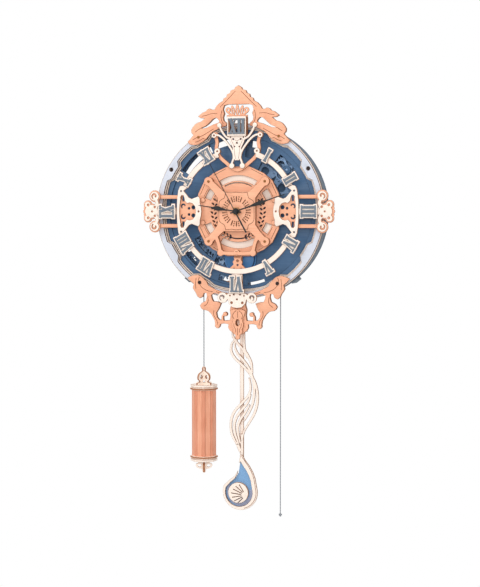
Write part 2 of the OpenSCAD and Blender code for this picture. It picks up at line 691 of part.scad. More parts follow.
module lower_torso() {
    color(peach) layer(face_d + ornament_t, ornament_t) difference() {
        shape(symmetric([0, -139], [[6, -138.5], [11.4, -141], [10.4, -146.5], [7.6, -151.5], [7.4, -156], [8.6, -160],
            [8, -164.5], [6.2, -167.4], [7.6, -170.6], [6, -174], [3.2, -175.6], [3.6, -179], [2, -182]]));
        shape(oval([0, -158], 3.1, 5));
    }
}

// Medallion: a base plate with windows and laurel cut-outs, cream arcs behind its windows, and a
// raised cross whose arms end in the screw lobes
med_screw = [41.6, 42.4];
med_lobe_r = 6.5;
shaft_bore = 4.2;
med_quarter = [for (p = [[1, 0.41], [0.84, 0.73], [0.63, 0.9], [0.28, 1.06]]) p * medallion_half];
med_windows = [[47.3, 7.8, 57, 123], [48, 9, 239, 301], [48.3, 9.6, 21, 37], [48.3, 9.6, 143, 159],
    [48.3, 9.6, 201, 217], [48.3, 9.6, 323, 339]];
leaf_rows = 7;
leaf_step = 6.2;
module med_screw_holes() {
    for (x = [-1, 1]) for (z = [-1, 1]) dot([x * med_screw[0], z * med_screw[1]], screw_r);
}
module leaf(p, a) {
    translate(p) rotate(a) shape(oval([0, 0], 2.3, 1.15, 12));
}
module laurel() {
    for (i = [0:leaf_rows - 1]) let (z = 17 - i * leaf_step, x = 36.5 - 0.014 * z * z) for (side = [-1, 1])
        leaf([side * (x + 2.6), z], side * 40 + 180);
    for (i = [0:leaf_rows - 1]) let (z = 15.6 - i * leaf_step, x = 36.5 - 0.014 * z * z) for (side = [-1, 1])
        leaf([side * (x - 2.4), z], side * 140);
}
// A laurel branch that curves under the raised plate
branch_r = 38.6;
module branch() {
    arc_window(branch_r, 1.4, 246, 294);
    for (a = [236, 244, 252, 288, 296, 304]) for (side = [-1, 1])
        leaf(polar(branch_r + side * 2.2, a), a + (a < 270 ? -1 : 1) * (90 - side * 38));
}
module medallion_back() {
    color(peach) difference() {
        union() {
            layer(medallion_d, ply) difference() {
                union() {
                    shape(concat(med_quarter, mirrored(med_quarter), [for (p = med_quarter) -p],
                        [for (p = mirrored(med_quarter)) -p]));
                    translate([0, -66]) square([12, 11], center = true);
                }
                for (w = med_windows) arc_window(w[0], w[1], w[2], w[3]);
                arc_window(40.8, 1.4, 61, 119);
                laurel();
                branch();
                med_screw_holes();
            }
            layer(riser_d, thin_ply) for (x = [-1, 1]) for (z = [-1, 1]) dot([x * 52.5, z * 16], 3.4);
        }
        bar([0, 0], medallion_d - 1, riser_d + thin_ply + 1, shaft_bore);
    }
}
// Two cream arcs behind the windows, clear of the square movement
module medallion_underlay() {
    color(cream) layer(underlay_d, thin_ply) for (a = [90, 270]) arc_window(47.8, 14.8, a - 74, a + 74);
}
// The raised cross; the layer under the front plate is drawn in a little at its edge
plate_half = 28;
arm_w = 10.5;
foot_lobes = [[23.9, -58.6], [0, -58.6]];
module cross_2d(in) {
    shape(eight(plate_half - in, plate_half - 7 - in));
    for (x = [-1, 1]) for (z = [-1, 1]) {
        shape(stroke([[x * 22, z * 22], [x * 32, z * 33], [x * med_screw[0], z * med_screw[1]]],
            [arm_w + 3, arm_w, arm_w - 1] - [2, 2, 2] * in, 2));
        dot([x * med_screw[0], z * med_screw[1]], med_lobe_r - in);
    }
    shape(stroke([[-31, -35], [-26.6, -46], foot_lobes[0] - [2 * foot_lobes[0][0], 0]], [6, 5, 5] - [2, 2, 2] * in, 3));
    shape(stroke([[31, -35], [26.6, -46], foot_lobes[0]], [6, 5, 5] - [2, 2, 2] * in, 3));
    shape(stroke([[-24, -58.8], [0, -59.6], [24, -58.8]], [5, 5, 5] - [2, 2, 2] * in, 3));
    both_dots(foot_lobes[0], 4.8 - in);
    dot(foot_lobes[1], 4.6 - in);
}
module medallion_frame() {
    color(peach) difference() {
        layer(riser_d, riser_t) difference() {
            cross_2d(0.7);
            med_screw_holes();
        }
        bar([0, 0], riser_d - 1, medallion_face_d + 1, shaft_bore);
    }
}
// Six fans of rays round the shaft, each of three slots with dots between them
fan_angles = [0, 62, 118, 180, 242, 298];
module fan(a) {
    rotate(a) {
        for (k = [-2, 0, 2]) rotate(k * 11) translate([0, 17.6]) square([1.2, 7], center = true);
        for (k = [-1, 1]) for (r = [14.6, 17.6, 20.6]) rotate(k * 11) dot([0, r], 0.75);
    }
}
module medallion_panel() {
    color(peach) difference() {
        layer(medallion_face_d, ply) difference() {
            cross_2d(0);
            for (a = fan_angles) fan(a);
            med_screw_holes();
        }
        bar([0, 0], medallion_face_d - 1, panel_front_d + 1, shaft_bore);
    }
}
module medallion_pillars() {
    color("tan") for (x = [-1, 1]) for (z = [-1, 1])
        bar([x * med_screw[0], z * med_screw[1]], front_plate_d + ply, medallion_d, pillar_r);
}

// Quartz movement with its battery bay open to the back
movement_d = medallion_d - movement_depth;
case_wall = 1.6;
cell_r = 7.1;
cell_len = 50;
cell_x = -16;
pipe_r = [2.5, 1.6, 0.8];
thread_r = 4;
hour_d = panel_front_d + 2.6;
minute_d = hour_d + 2;
second_d = minute_d + 2;
hand_t = 0.8;
module movement_case() {
    color("#222222") difference() {
        union() {
            layer(movement_d, movement_depth) square(movement_side, center = true);
            bar([0, 0], medallion_d, panel_front_d + 2, thread_r);
        }
        layer(movement_d - 1, cell_r * 2 + 1.4) translate([cell_x, 0]) square([cell_r * 2 + 0.6, cell_len + 1], center = true);
        bar([0, 0], movement_d + case_wall, panel_front_d + 3, pipe_r[0] + run_gap);
    }
}
module movement_nut() {
    color("goldenrod") difference() {
        translate([0, -panel_front_d, -hang_drop]) rotate([90, 0, 0]) cylinder(r = 6.5, h = 1.6, $fn = 6);
        bar([0, 0], panel_front_d - 1, panel_front_d + 3, thread_r);
    }
}
module battery() {
    color("silver") translate([cell_x, -movement_d - cell_r - 0.2, -hang_drop - cell_len / 2]) {
        cylinder(r = cell_r, h = cell_len - 1.5, $fn = 48);
        cylinder(r = 2.6, h = cell_len, $fn = 48);
    }
}
// Hands turn on concentric pipes; each is drawn pointing up and set to the time shown
module hand(angle, d, outline, inner_r, outer_r, pipe_to) {
    difference() {
        union() {
            layer(d, hand_t) rotate(-angle) {
                shape(outline);
                dot([0, 0], outer_r + 2);
            }
            bar([0, 0], pipe_to, d, outer_r);
        }
        if (inner_r > 0) bar([0, 0], pipe_to - 1, d + hand_t + 1, inner_r);
    }
}
function leaf_hand(reach, from, w) = symmetric([0, reach], [[0.5, reach - 2], [0.9, reach * 0.62],
    [w, reach * 0.5], [w * 0.6, reach * 0.36], [0.9, reach * 0.28], [0.9, from]]);
module hour_hand() {
    color("black") hand(hour_angle, hour_d, leaf_hand(hour_reach, -8, 3.4), pipe_r[1] + run_gap,
        pipe_r[0], movement_d + case_wall + 1);
}
module minute_hand() {
    color("black") hand(minute_angle, minute_d, leaf_hand(minute_reach, -8, 3.2), pipe_r[2] + run_gap,
        pipe_r[1], movement_d + case_wall + 1);
}
module second_hand() {
    color("black") hand(second_angle, second_d, symmetric([0, second_reach], [[0.4, second_reach - 1],
        [0.5, 0], [1, -8], [1, -34]]), 0, pipe_r[2], movement_d + case_wall + 1);
}

// Cord pulley with a toothed rear flange, and the great wheel behind it on the same collar
pulley_d = cord_plane - pulley_w / 2;
flange_t = (pulley_w - groove_w) / 2;
flange_r = groove_r + flange_lip;
click_teeth = 36;
function saw_pts(n, r0, r1) = [for (i = [0:n - 1]) each [polar(r1, i * 360 / n), polar(r0, i * 360 / n + 1)]];
module cord_pulley() {
    color("tan") difference() {
        union() {
            layer(pulley_d, flange_t) shape(saw_pts(click_teeth, flange_r - 1.8, flange_r));
            bar([0, 0], pulley_d + flange_t, pulley_d + flange_t + groove_w, groove_r);
            bar([0, 0], pulley_d + flange_t + groove_w, pulley_d + pulley_w, flange_r);
        }
        bar([0, 0], pulley_d - 1, pulley_d + pulley_w + 1, collar_r + run_gap);
    }
}
great_phase = 0;
module great_wheel() {
    color("#5F86B8") difference() {
        layer(great_d, wheel_t) difference() {
            shape(wheel_pts(great_teeth, tooth_m, great_phase));
            for (k = [0:11]) rotate(30 * k) dot([66.5, 0], 5.6);
            for (k = [0:11]) rotate(30 * k + 15) shape([[55, -5.5], [55, 5.5], [70, 0]]);
        }
        bar([0, 0], great_d - 1, great_d + wheel_t + 1, collar_r + run_gap);
    }
}
module click_pawls() {
    color("tan") for (k = [0, 1]) layer(great_d + wheel_t, pulley_d + flange_t - great_d - wheel_t)
        rotate(180 * k + 8) {
            shape(move_pts([[0.4, -1], [1.8, -2.8], [3.2, 1.5], [3.2, 8], [1.2, 7.2]], [flange_r, 0]));
        }
}

// Train arbors: each carries a wheel and a pinion and runs in both plates
arbor_end = 0.3;
module arbor(p) {
    bar(p, arbor_end, front_plate_d + ply - arbor_end, arbor_r);
}
module wheel(p, d, teeth, m, phase, holes) {
    layer(d, wheel_t) translate(p) difference() {
        shape(wheel_pts(teeth, m, phase));
        for (k = [0:holes - 1]) rotate(k * 360 / holes) dot([teeth * m * 0.29, 0], teeth * m * 0.13);
    }
}
module pinion(p, d, t, leaves, phase) {
    layer(d, t) translate(p) shape(wheel_pts(leaves, tooth_m, phase));
}
pinion_t = ply + 0.8;
second_phase = mesh_phase(great_teeth, first_leaves, second_angle_pos, great_phase);
third_phase = mesh_phase(train_teeth, pinion_leaves, bearing(second_pos, third_pos), second_phase);
last_phase = mesh_phase(train_teeth, pinion_leaves, bearing(third_pos, escape_pos), third_phase);
top_phase = mesh_phase(great_teeth, top_teeth, top_angle, great_phase);
function bearing(a, b) = atan2(b[1] - a[1], b[0] - a[0]);
module second_wheel() {
    color("#5F86B8") {
        arbor(second_pos);
        pinion(second_pos, great_d - clear, pinion_t, first_leaves, second_phase);
        wheel(second_pos, second_wheel_d, train_teeth, tooth_m, second_phase, 5);
    }
}
module third_wheel() {
    color("#5F86B8") {
        arbor(third_pos);
        pinion(third_pos, second_wheel_d - clear, pinion_t, pinion_leaves, third_phase);
        wheel(third_pos, third_wheel_d, train_teeth, tooth_m, third_phase, 5);
    }
}
module escape_wheel() {
    color("#7FA3D0") {
        arbor(escape_pos);
        pinion(escape_pos, third_wheel_d - clear, pinion_t, pinion_leaves, last_phase);
        layer(escape_d, wheel_t) translate(escape_pos) difference() {
            shape([for (i = [0:escape_teeth - 1]) let (a = i * 360 / escape_teeth) each
                [polar(escape_r * 0.74, a - 15), polar(escape_r * 0.74, a - 6),
                polar(escape_r - 0.6, a - 3), polar(escape_r, a)]]);
            for (k = [0:4]) rotate(k * 72) dot([escape_r * 0.46, 0], escape_r * 0.17);
        }
    }
}
top_wheel_teeth = 30;
top_m = 1.4;
module top_wheel() {
    color("#5F86B8") {
        arbor(top_pos);
        pinion(top_pos, great_d - clear, pinion_t, top_teeth, top_phase);
        wheel(top_pos, escape_d, top_wheel_teeth, top_m, 0, 5);
    }
}
// Anchor: two arms from the pendulum arbor that reach round the escape wheel
to_pivot = bearing(escape_pos, pivot_pos);
pivot_gap = norm(pivot_pos - escape_pos);
pallet_span = acos(escape_r / pivot_gap);
pallet_gap = 1.4;
pallet_r = escape_r + norm([pivot_gap, escape_r]) * sin(swing) + pallet_gap;
function arm_pts(side) = [for (q = [[pallet_r, 0], [pallet_r + 0.4, 12], [pallet_r + 6, 10],
    [pallet_r + 6.5, -4], [pallet_r + 2.6, -16]]) escape_pos + polar(q[0], to_pivot + side
    * (pallet_span + q[1]))];
module anchor() {
    color(peach) {
        bar(pivot_pos, arbor_end, front_plate_d + ply - arbor_end, arbor_r);
        layer(escape_d, wheel_t) {
            dot(pivot_pos, 6);
            for (side = [-1, 1]) let (a = arm_pts(side)) shape([a[0], a[1], a[2], a[3],
                pivot_pos + polar(4.5, to_pivot + side * 80), pivot_pos - polar(1, to_pivot), a[4]]);
        }
    }
}

// Pendulum
hanger_d = escape_d + wheel_t;
hanger_t = 2.4;
strand_t = 2.4;
strand_back_d = hanger_d - strand_t;
neck_z = 54 - bob_drop;
hanger_foot = -172;
module pendulum_hanger() {
    color(cream) layer(hanger_d, hanger_t) difference() {
        union() {
            dot(pivot_pos, 10);
            shape([[4.5, -pivot_drop], [-4.5, -pivot_drop], [-8, -150], [-15, hanger_foot],
                [9, hanger_foot], [4.5, -150]]);
        }
        dot(pivot_pos, arbor_r);
    }
}
// A straight rod at the back, and strands that wind round it and cross in front
strand_w = 3.6;
rod_w = 5.4;
strands = [[[-13.5, -173], [-12, -181], [-5, -190], [3, -199], [9, -210]],
    [[4.2, -173], [4.4, -196], [9.5, -206], [14.6, -217], [16.2, -232]],
    [[-6, -184], [-12.6, -187], [-15.4, -194], [-15, -202], [-9, -211.5], [2, -221], [12.6, -232.5],
    [20.6, -246], [24, -262], [23.2, -277], [18.6, -291], [10.6, -304.5], [3.6, -317], [1, -330]],
    [[-9.4, -187], [-9.8, -195], [-5.4, -204.5], [2.6, -213], [9.6, -222], [15, -233], [18.6, -247],
    [19, -262], [16.6, -276], [11, -289], [3.6, -301]],
    [[11.4, -238], [13.6, -250], [11.6, -262], [2, -274], [-9.6, -286.4], [-15, -298.5], [-16, -311.5],
    [-13.4, -323], [-7, -335], [-2.4, -346]],
    [[13.8, -262], [9.6, -274], [0, -285.6], [-7.6, -296.5], [-10.8, -308.4], [-9.4, -320.6], [-5, -332.6],
    [-1.4, -345]],
    [[12.4, -277], [5.6, -289], [-1.6, -299], [-5.4, -309.6], [-4.8, -321], [-1.6, -334]]];
module pendulum_strands() {
    color(cream) {
        layer(strand_back_d, strand_t) translate([-rod_w / 2, neck_z - 7])
            square([rod_w, hanger_foot + 12 - neck_z + 7]);
        layer(hanger_d, strand_t) {
            for (s = strands) shape(stroke(s, [strand_w * 0.6, strand_w, strand_w, strand_w, strand_w * 0.6]));
            translate([-1, neck_z]) square([4, 30]);
        }
    }
}
// The bob is a drop that leans: a round body, a bulging right side and a hollow left side
bob_c = [-1.8, -bob_drop];
bob_tip = bob_drop + neck_z - 1;
drop_right = [[0.87, 0.38], [0.74, 0.55], [0.54, 0.72], [0.3, 0.87], [0.13, 1]];
drop_left = [[-0.02, 0.94], [-0.064, 0.79], [-0.117, 0.6], [-0.3, 0.44], [-0.585, 0.33]];
function drop_pts(c, r, h) = [for (p = concat(arc_pts(r, 160, 375, 36),
    [for (q = concat(drop_right, drop_left)) [q[0] * r, q[1] * h]])) c + p];
blue_c = bob_c + [-1.9, -0.6];
blue_r = bob_r - 5.4;
shell_c = bob_c + [-2.4, -1];
shell_r = 15;
module bob_back() {
    color(steel_blue) layer(strand_back_d, strand_t) shape(drop_pts(bob_c, bob_r - 1.5, bob_tip - 7));
}
module bob_frame() {
    color(cream) layer(hanger_d, ply) difference() {
        shape(drop_pts(bob_c, bob_r, bob_tip));
        shape(drop_pts(blue_c, blue_r, bob_tip - 8));
    }
}
// The shell's ribs spread from a hinge at its right side
module bob_shell() {
    color(cream) layer(hanger_d, ply + thin_ply) translate(shell_c) difference() {
        dot([0, 0], shell_r);
        for (k = [-3:3]) translate([shell_r * 0.75, -3]) rotate(84 + k * 17) translate([0, 14.4 - abs(k) * 0.9])
            square([0.8, 15 - abs(k)], center = true);
    }
}

// Weight: slatted wooden tube, two-ring caps and crossed scroll finials round a steel core
weight_axis = [-cord_x, -cord_plane];
weight_top = -hang_drop - weight_drop;
top_finial = 26;
low_finial = 18;
cap_t = 2 * ply + thin_ply;
tube_sides = 8;
weight_turn = 17;
tube_top = weight_top - top_finial - cap_t;
tube_low = tube_top - tube_len;
core_r = 9;
module at_weight(z) {
    translate([weight_axis[0], weight_axis[1], z]) rotate(weight_turn) children();
}
module weight_body() {
    color("#EDA27A") at_weight(tube_low) linear_extrude(height = tube_len) difference() {
        shape(arc_pts(tube_r, 0, 360 - 360 / tube_sides, tube_sides - 1));
        circle(r = core_r, $fn = 48);
    }
}
module weight_core() {
    color("dimgray") at_weight(tube_low) cylinder(r = core_r, h = tube_len, $fn = 48);
}
finial_side = [[2, 0], [3.4, 3], [2.4, 6], [6, 7], [10.5, 9], [12.5, 13], [11, 17], [7, 17.5], [6.4, 20],
    [9.5, 22.6], [14, 22.4], [14, 26]];
module finial(h) {
    k = h / 26;
    side = [for (p = finial_side) [p[0], -p[1] * k]];
    for (turn = [0, 90]) rotate(turn) rotate([90, 0, 0]) translate([0, 0, -ply / 2]) linear_extrude(height = ply)
        shape(concat(side, mirrored(side)));
}
module cap() {
    cylinder(r = cap_r, h = ply, $fn = tube_sides);
    translate([0, 0, ply]) cylinder(r = cap_r - 1.6, h = thin_ply, $fn = tube_sides);
    translate([0, 0, ply + thin_ply]) cylinder(r = cap_r - 0.6, h = ply, $fn = tube_sides);
}
module weight_ends() {
    color(cream) {
        at_weight(weight_top) finial(top_finial);
        at_weight(tube_top) cap();
        at_weight(tube_low) mirror([0, 0, 1]) cap();
        at_weight(tube_low - cap_t - low_finial) mirror([0, 0, 1]) finial(low_finial);
    }
}

// Cords: one line from the weight over the pulley and down to the free end
module weight_cord() {
    color("gray") translate([-cord_x, -cord_plane, weight_top]) cylinder(r = cord_d / 2, h = weight_drop, $fn = 16);
}
module cord_turn() {
    color("gray") translate([0, -cord_plane, -hang_drop]) rotate([90, 0, 0]) rotate_extrude(angle = 180, $fn = 96)
        translate([cord_x, 0]) circle(r = cord_d / 2, $fn = 16);
}
knot_r = 1.6;
module pull_cord() {
    color("gray") translate([cord_x, -cord_plane, -hang_drop - pull_drop + 2 * knot_r])
        cylinder(r = cord_d / 2, h = pull_drop - 2 * knot_r, $fn = 16);
}
module pull_knot() {
    color("gray") translate([cord_x, -cord_plane, -hang_drop - pull_drop + knot_r]) sphere(r = knot_r, $fn = 24);
}

back_plate();
rim_band();
case_pillars();
bearing_collar();
front_plate();
plate_ring();
inner_liner();
ring_backing();
front_ring();
face_screws();
crest();
crest_crown();
twelve_block();
cardinal_plaques();
hour_plaques();
numeral_inlays();
dial_ring();
heart_frame();
heart_scroll();
side_rails();
side_scroll_backs();
side_scrolls();
side_brackets();
bracket_filigree();
bottom_scroll();
bottom_post();
lower_boss();
lower_ornament();
lower_torso();
medallion_back();
medallion_underlay();
medallion_frame();
medallion_panel();
medallion_pillars();
movement_case();
movement_nut();
battery();
hour_hand();
minute_hand();
second_hand();
cord_pulley();
great_wheel();
click_pawls();
second_wheel();
third_wheel();
escape_wheel();
top_wheel();
anchor();
pendulum_hanger();
pendulum_strands();
bob_back();
bob_frame();
bob_shell();
weight_body();
weight_core();
weight_ends();
weight_cord();
pull_cord();
cord_turn();
pull_knot();
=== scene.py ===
# Wall clock of laser-cut plywood: camera, light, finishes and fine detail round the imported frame
import json
import math

import bmesh
import bpy
from mathutils import Matrix, Vector
from mathutils.bvhtree import BVHTree

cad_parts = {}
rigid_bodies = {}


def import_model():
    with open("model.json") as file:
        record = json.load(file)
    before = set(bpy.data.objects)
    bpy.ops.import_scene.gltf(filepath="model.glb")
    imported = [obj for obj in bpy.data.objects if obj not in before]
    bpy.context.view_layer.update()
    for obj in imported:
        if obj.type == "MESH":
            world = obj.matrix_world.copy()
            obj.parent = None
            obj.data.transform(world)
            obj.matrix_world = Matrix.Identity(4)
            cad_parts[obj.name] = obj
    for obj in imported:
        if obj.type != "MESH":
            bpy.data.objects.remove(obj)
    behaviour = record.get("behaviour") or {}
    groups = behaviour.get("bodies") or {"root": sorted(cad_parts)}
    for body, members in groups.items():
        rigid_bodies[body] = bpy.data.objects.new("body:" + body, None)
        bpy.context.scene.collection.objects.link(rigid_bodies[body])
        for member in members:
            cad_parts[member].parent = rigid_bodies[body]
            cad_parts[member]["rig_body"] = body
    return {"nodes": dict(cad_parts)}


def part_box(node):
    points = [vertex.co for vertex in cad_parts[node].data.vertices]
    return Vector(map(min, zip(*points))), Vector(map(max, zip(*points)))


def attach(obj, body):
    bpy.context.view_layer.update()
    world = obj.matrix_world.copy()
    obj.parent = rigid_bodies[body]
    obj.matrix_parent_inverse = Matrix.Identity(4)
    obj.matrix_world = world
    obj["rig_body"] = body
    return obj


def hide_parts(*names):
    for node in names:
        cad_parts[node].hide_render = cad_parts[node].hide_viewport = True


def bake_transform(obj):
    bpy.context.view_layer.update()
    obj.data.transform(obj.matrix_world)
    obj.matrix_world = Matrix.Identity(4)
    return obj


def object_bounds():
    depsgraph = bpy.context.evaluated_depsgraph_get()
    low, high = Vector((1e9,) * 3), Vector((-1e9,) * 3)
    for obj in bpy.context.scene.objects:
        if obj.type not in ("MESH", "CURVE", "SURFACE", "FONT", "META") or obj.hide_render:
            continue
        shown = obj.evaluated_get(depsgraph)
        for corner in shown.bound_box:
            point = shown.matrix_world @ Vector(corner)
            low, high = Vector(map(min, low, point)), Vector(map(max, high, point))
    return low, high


mm = 0.001
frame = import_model()
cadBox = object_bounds()
nodes = frame["nodes"]
ringLow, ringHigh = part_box("front_ring")
dialCentre = (ringLow + ringHigh) / 2
dialCentre.y = ringLow.y  # the ring's front face
print("frame loaded,", len(nodes), "nodes")


# Camera. Angles are in degrees from straight in front: towards the clock's right (+X), and upwards.

# Where the dial's centre lies in the photograph, and the focal length, both in its pixels
photo = {"width": 480, "height": 587, "dialX": 238.8, "dialY": 211.4, "focal": 1549}
# Metres and degrees, with the sensor in mm
shot = {"azimuth": 17, "elevation": 3, "distance": 2.2, "sensor": 36, "clipEnd": 60}


def outward(azimuth, elevation):
    a, e = math.radians(azimuth), math.radians(elevation)
    return Vector((math.sin(a) * math.cos(e), -math.cos(a) * math.cos(e), math.sin(e)))


# Cameras and lamps look along their own -Z, so Z points back at where they stand
def stand(name, data, place, back):
    holder = bpy.data.objects.new(name, data)
    holder.location = place
    holder.rotation_mode = "QUATERNION"
    holder.rotation_quaternion = back.to_track_quat("Z", "Y")
    bpy.context.scene.collection.objects.link(holder)
    return holder


def makeCamera():
    back = outward(shot["azimuth"], shot["elevation"])
    right = outward(shot["azimuth"] + 90, 0)
    up = back.cross(right)
    perPixel = shot["distance"] / photo["focal"]
    across = (photo["dialX"] - photo["width"] / 2) * perPixel
    above = (photo["height"] / 2 - photo["dialY"]) * perPixel
    data = bpy.data.cameras.new("photoCamera")
    data.sensor_width = shot["sensor"]
    data.lens = photo["focal"] * shot["sensor"] / photo["height"]
    data.clip_end = shot["clipEnd"]
    place = dialCentre + back * shot["distance"] - right * across - up * above
    bpy.context.scene.camera = stand("photoCamera", data, place, back)


# Node trees: settings are the node's own; values and links go to its inputs by name or number

def addNode(tree, kind, settings=None, values=None, links=None):
    node = tree.nodes.new(kind)
    for key, value in (settings or {}).items():
        setattr(node, key, value)
    for key, value in (values or {}).items():
        node.inputs[key].default_value = value
    for key, source in (links or {}).items():
        tree.links.new(source, node.inputs[key])
    return node


def emptyTree(block):
    block.use_nodes = True
    block.node_tree.nodes.clear()
    return block.node_tree


def toLinear(hexColour):
    values = [int(hexColour[i : i + 2], 16) / 255 for i in (1, 3, 5)]
    return [v / 12.92 if v <= 0.04045 else ((v + 0.055) / 1.055) ** 2.4 for v in values] + [1.0]


# Lamps, world and floor

lamps = {  # size and distance in metres, angles as for the camera
    "keySoftbox": {"watts": 20, "size": 1.4, "azimuth": -38, "elevation": 34, "distance": 2.6},
    "faceSoftbox": {"watts": 17, "size": 0.9, "azimuth": 14, "elevation": 9, "distance": 2.9},
    "fillSoftbox": {"watts": 6, "size": 1.8, "azimuth": 50, "elevation": 12, "distance": 2.8},
    "topSoftbox": {"watts": 7, "size": 1.2, "azimuth": 0, "elevation": 75, "distance": 2.0},
}
# Metres; the clock hangs well above the floor
studio = {"worldLevel": 0.62, "floorDrop": 0.9, "floorReach": 25, "paper": 0.9}
white = (1, 1, 1, 1)


def makeLamps():
    for name, lamp in lamps.items():
        away = outward(lamp["azimuth"], lamp["elevation"])
        data = bpy.data.lights.new(name, "AREA")
        data.energy = lamp["watts"]
        data.size = lamp["size"]
        stand(name, data, dialCentre + away * lamp["distance"], away)


# The camera sees a white background, straight, mirrored or through glass; the light on the clock is lower
def seenRays(tree):
    path = addNode(tree, "ShaderNodeLightPath")
    seen = path.outputs["Is Camera Ray"]
    for ray in ("Is Glossy Ray", "Is Transmission Ray"):
        either = addNode(tree, "ShaderNodeMath", {"operation": "MAXIMUM"}, links={
            0: seen, 1: path.outputs[ray]})
        seen = either.outputs[0]
    return seen


def makeWorld():
    world = bpy.data.worlds.new("paleStudio")
    tree = emptyTree(world)
    low = studio["worldLevel"]
    level = addNode(tree, "ShaderNodeMath", {"operation": "MULTIPLY_ADD"}, {1: 1 - low, 2: low}, {
        0: seenRays(tree)})
    glow = addNode(tree, "ShaderNodeBackground", None, {"Color": white}, {"Strength": level.outputs[0]})
    addNode(tree, "ShaderNodeOutputWorld", links={"Surface": glow.outputs[0]})
    bpy.context.scene.world = world


def makeFloor():
    low, reach = cadBox[0].z - studio["floorDrop"], studio["floorReach"]
    corners = [(-reach, -reach, low), (reach, -reach, low), (reach, reach, low), (-reach, reach, low)]
    mesh = bpy.data.meshes.new("studioFloor")
    mesh.from_pydata(corners, [], [(0, 1, 2, 3)])
    material = bpy.data.materials.new("whitePaperFloor")
    tree = emptyTree(material)
    paper = addNode(tree, "ShaderNodeBsdfDiffuse", None, {"Color": (*[studio["paper"]] * 3, 1)})
    glow = addNode(tree, "ShaderNodeEmission", None, {"Color": white, "Strength": 1})
    mix = addNode(tree, "ShaderNodeMixShader", links={
        0: seenRays(tree), 1: paper.outputs[0], 2: glow.outputs[0]})
    addNode(tree, "ShaderNodeOutputMaterial", links={"Surface": mix.outputs[0]})
    mesh.materials.append(material)
    floor = bpy.data.objects.new("studioFloor", mesh)
    bpy.context.scene.collection.objects.link(floor)


makeCamera()
makeLamps()
makeWorld()
makeFloor()
bpy.context.scene.view_settings.view_transform = "Standard"
print("camera, lamps and floor set")


# Finishes. Object coordinates are metres, so a scale of 1000 / size repeats once in that many mm.

plyLooks = {
    # Basswood plywood, sanded and printed before it is cut: a satin film through which the grain just shows
    "creamPrintedPly": {"face": "#FFF0E3", "deep": "#F5DFCE", "grain": 0.35, "along": "z", "rough": 0.52},
    "peachPrintedPly": {"face": "#FABC98", "deep": "#F0A682", "grain": 0.55, "along": "x", "rough": 0.55},
    "paleBluePrintedPly": {"face": "#D9DDE8", "deep": "#CACFDD", "grain": 0.3, "along": "x", "rough": 0.5},
    "steelBluePrintedPly": {"face": "#50749A", "deep": "#416387", "grain": 0.6, "along": "x", "rough": 0.5},
    # The next three are the back plate's and the wheels' printed blues made much lighter: painted light that
    # makes up for the shade inside the case
    "innerBluePlyPaintedLight": {"face": "#7F9FC4", "deep": "#6A8AB0", "grain": 0.6, "along": "x", "rough": 0.5},
    "gearBluePlyPaintedLight": {"face": "#A2C3EA", "deep": "#86ACD8", "grain": 0.5, "along": "x", "rough": 0.5},
    "lightGearPlyPaintedLight": {"face": "#B4D2F2", "deep": "#9ABEE4", "grain": 0.5, "along": "x", "rough": 0.5},
    "slatePrintedPly": {"face": "#75808C", "deep": "#616C78", "grain": 0.5, "along": "z", "rough": 0.5},
    "dropBluePrintedPly": {"face": "#7CABD6", "deep": "#86A4CC", "grain": 0.3, "along": "z", "rough": 0.45},
    "lavenderPrintedPly": {"face": "#A3ABC6", "deep": "#949DBA", "grain": 0.3, "along": "z", "rough": 0.5},
    "bossBluePrintedPly": {"face": "#4F86BE", "deep": "#4276AD", "grain": 0.4, "along": "x", "rough": 0.45},
    # Thin strip bent round the case and printed: matt grey blue
    "bentRimPly": {"face": "#64727F", "deep": "#55626F", "grain": 0.4, "along": "x", "rough": 0.6},
    # Slats of the weight, sawn and left bare: salmon brown with open grain
    "salmonSlatWood": {"face": "#F8B696", "deep": "#E89C7A", "grain": 0.8, "along": "z", "rough": 0.6},
    # The same wood at the bottom of a laser kerf: browned and dull
    "kerfCutSlat": {"face": "#B5764F", "deep": "#96593A", "grain": 0.8, "along": "z", "rough": 0.75},
    # Turned birch dowel, left bare: pale yellow brown
    "bareBirchDowel": {"face": "#DDBB93", "deep": "#C9A378", "grain": 0.6, "along": "y", "rough": 0.6},
    # Sides that the laser leaves: plies browned by heat, darkest at the rim, and dull
    "peachPlyEdge": {"face": "#C88A62", "deep": "#9C6240", "grain": 0.8, "along": "y", "rough": 0.75},
    "creamPlyEdge": {"face": "#D0A27E", "deep": "#A87650", "grain": 0.8, "along": "y", "rough": 0.75},
    "ringPlyEdge": {"face": "#7C5A48", "deep": "#553A2E", "grain": 0.8, "along": "y", "rough": 0.75},
    "charredPlyRim": {"face": "#8A5A3C", "deep": "#6E4229", "grain": 0.6, "along": "y", "rough": 0.8},
    "scorchedBlueEdge": {"face": "#34445A", "deep": "#243041", "grain": 0.6, "along": "y", "rough": 0.75},
    "gearPlyEdge": {"face": "#5A7290", "deep": "#435972", "grain": 0.6, "along": "y", "rough": 0.75},
    # Shallow lines that the laser burns through the print: dark brown and dull
    "burntLine": {"face": "#8E5033", "deep": "#703D25", "grain": 0.6, "along": "x", "rough": 0.8},
}
# Sizes in mm: a fibre's width and length, a streak's depth into the ply, and the slow drift of the tone.
# The rest are the noise's settings, and what a look's grain does to tone and relief.
grain = {"width": 0.9, "length": 26, "depth": 2.2, "detail": 5, "roughness": 0.6, "distortion": 0.4,
         "drift": 24, "driftDetail": 2, "driftShare": 0.45, "toneFrom": 0.45, "toneTo": 1.0, "tone": 1.6,
         "glossFrom": 0.3, "glossTo": 0.7, "smoother": 0.08, "rougher": 0.1,
         "relief": 0.12, "filmRelief": 0.04, "reliefDepth": 0.08, "ior": 1.48}
alongScale = {
    "x": (grain["length"], grain["depth"], grain["width"]),
    "y": (grain["width"], grain["length"], grain["width"]),
    "z": (grain["width"], grain["depth"], grain["length"]),
}


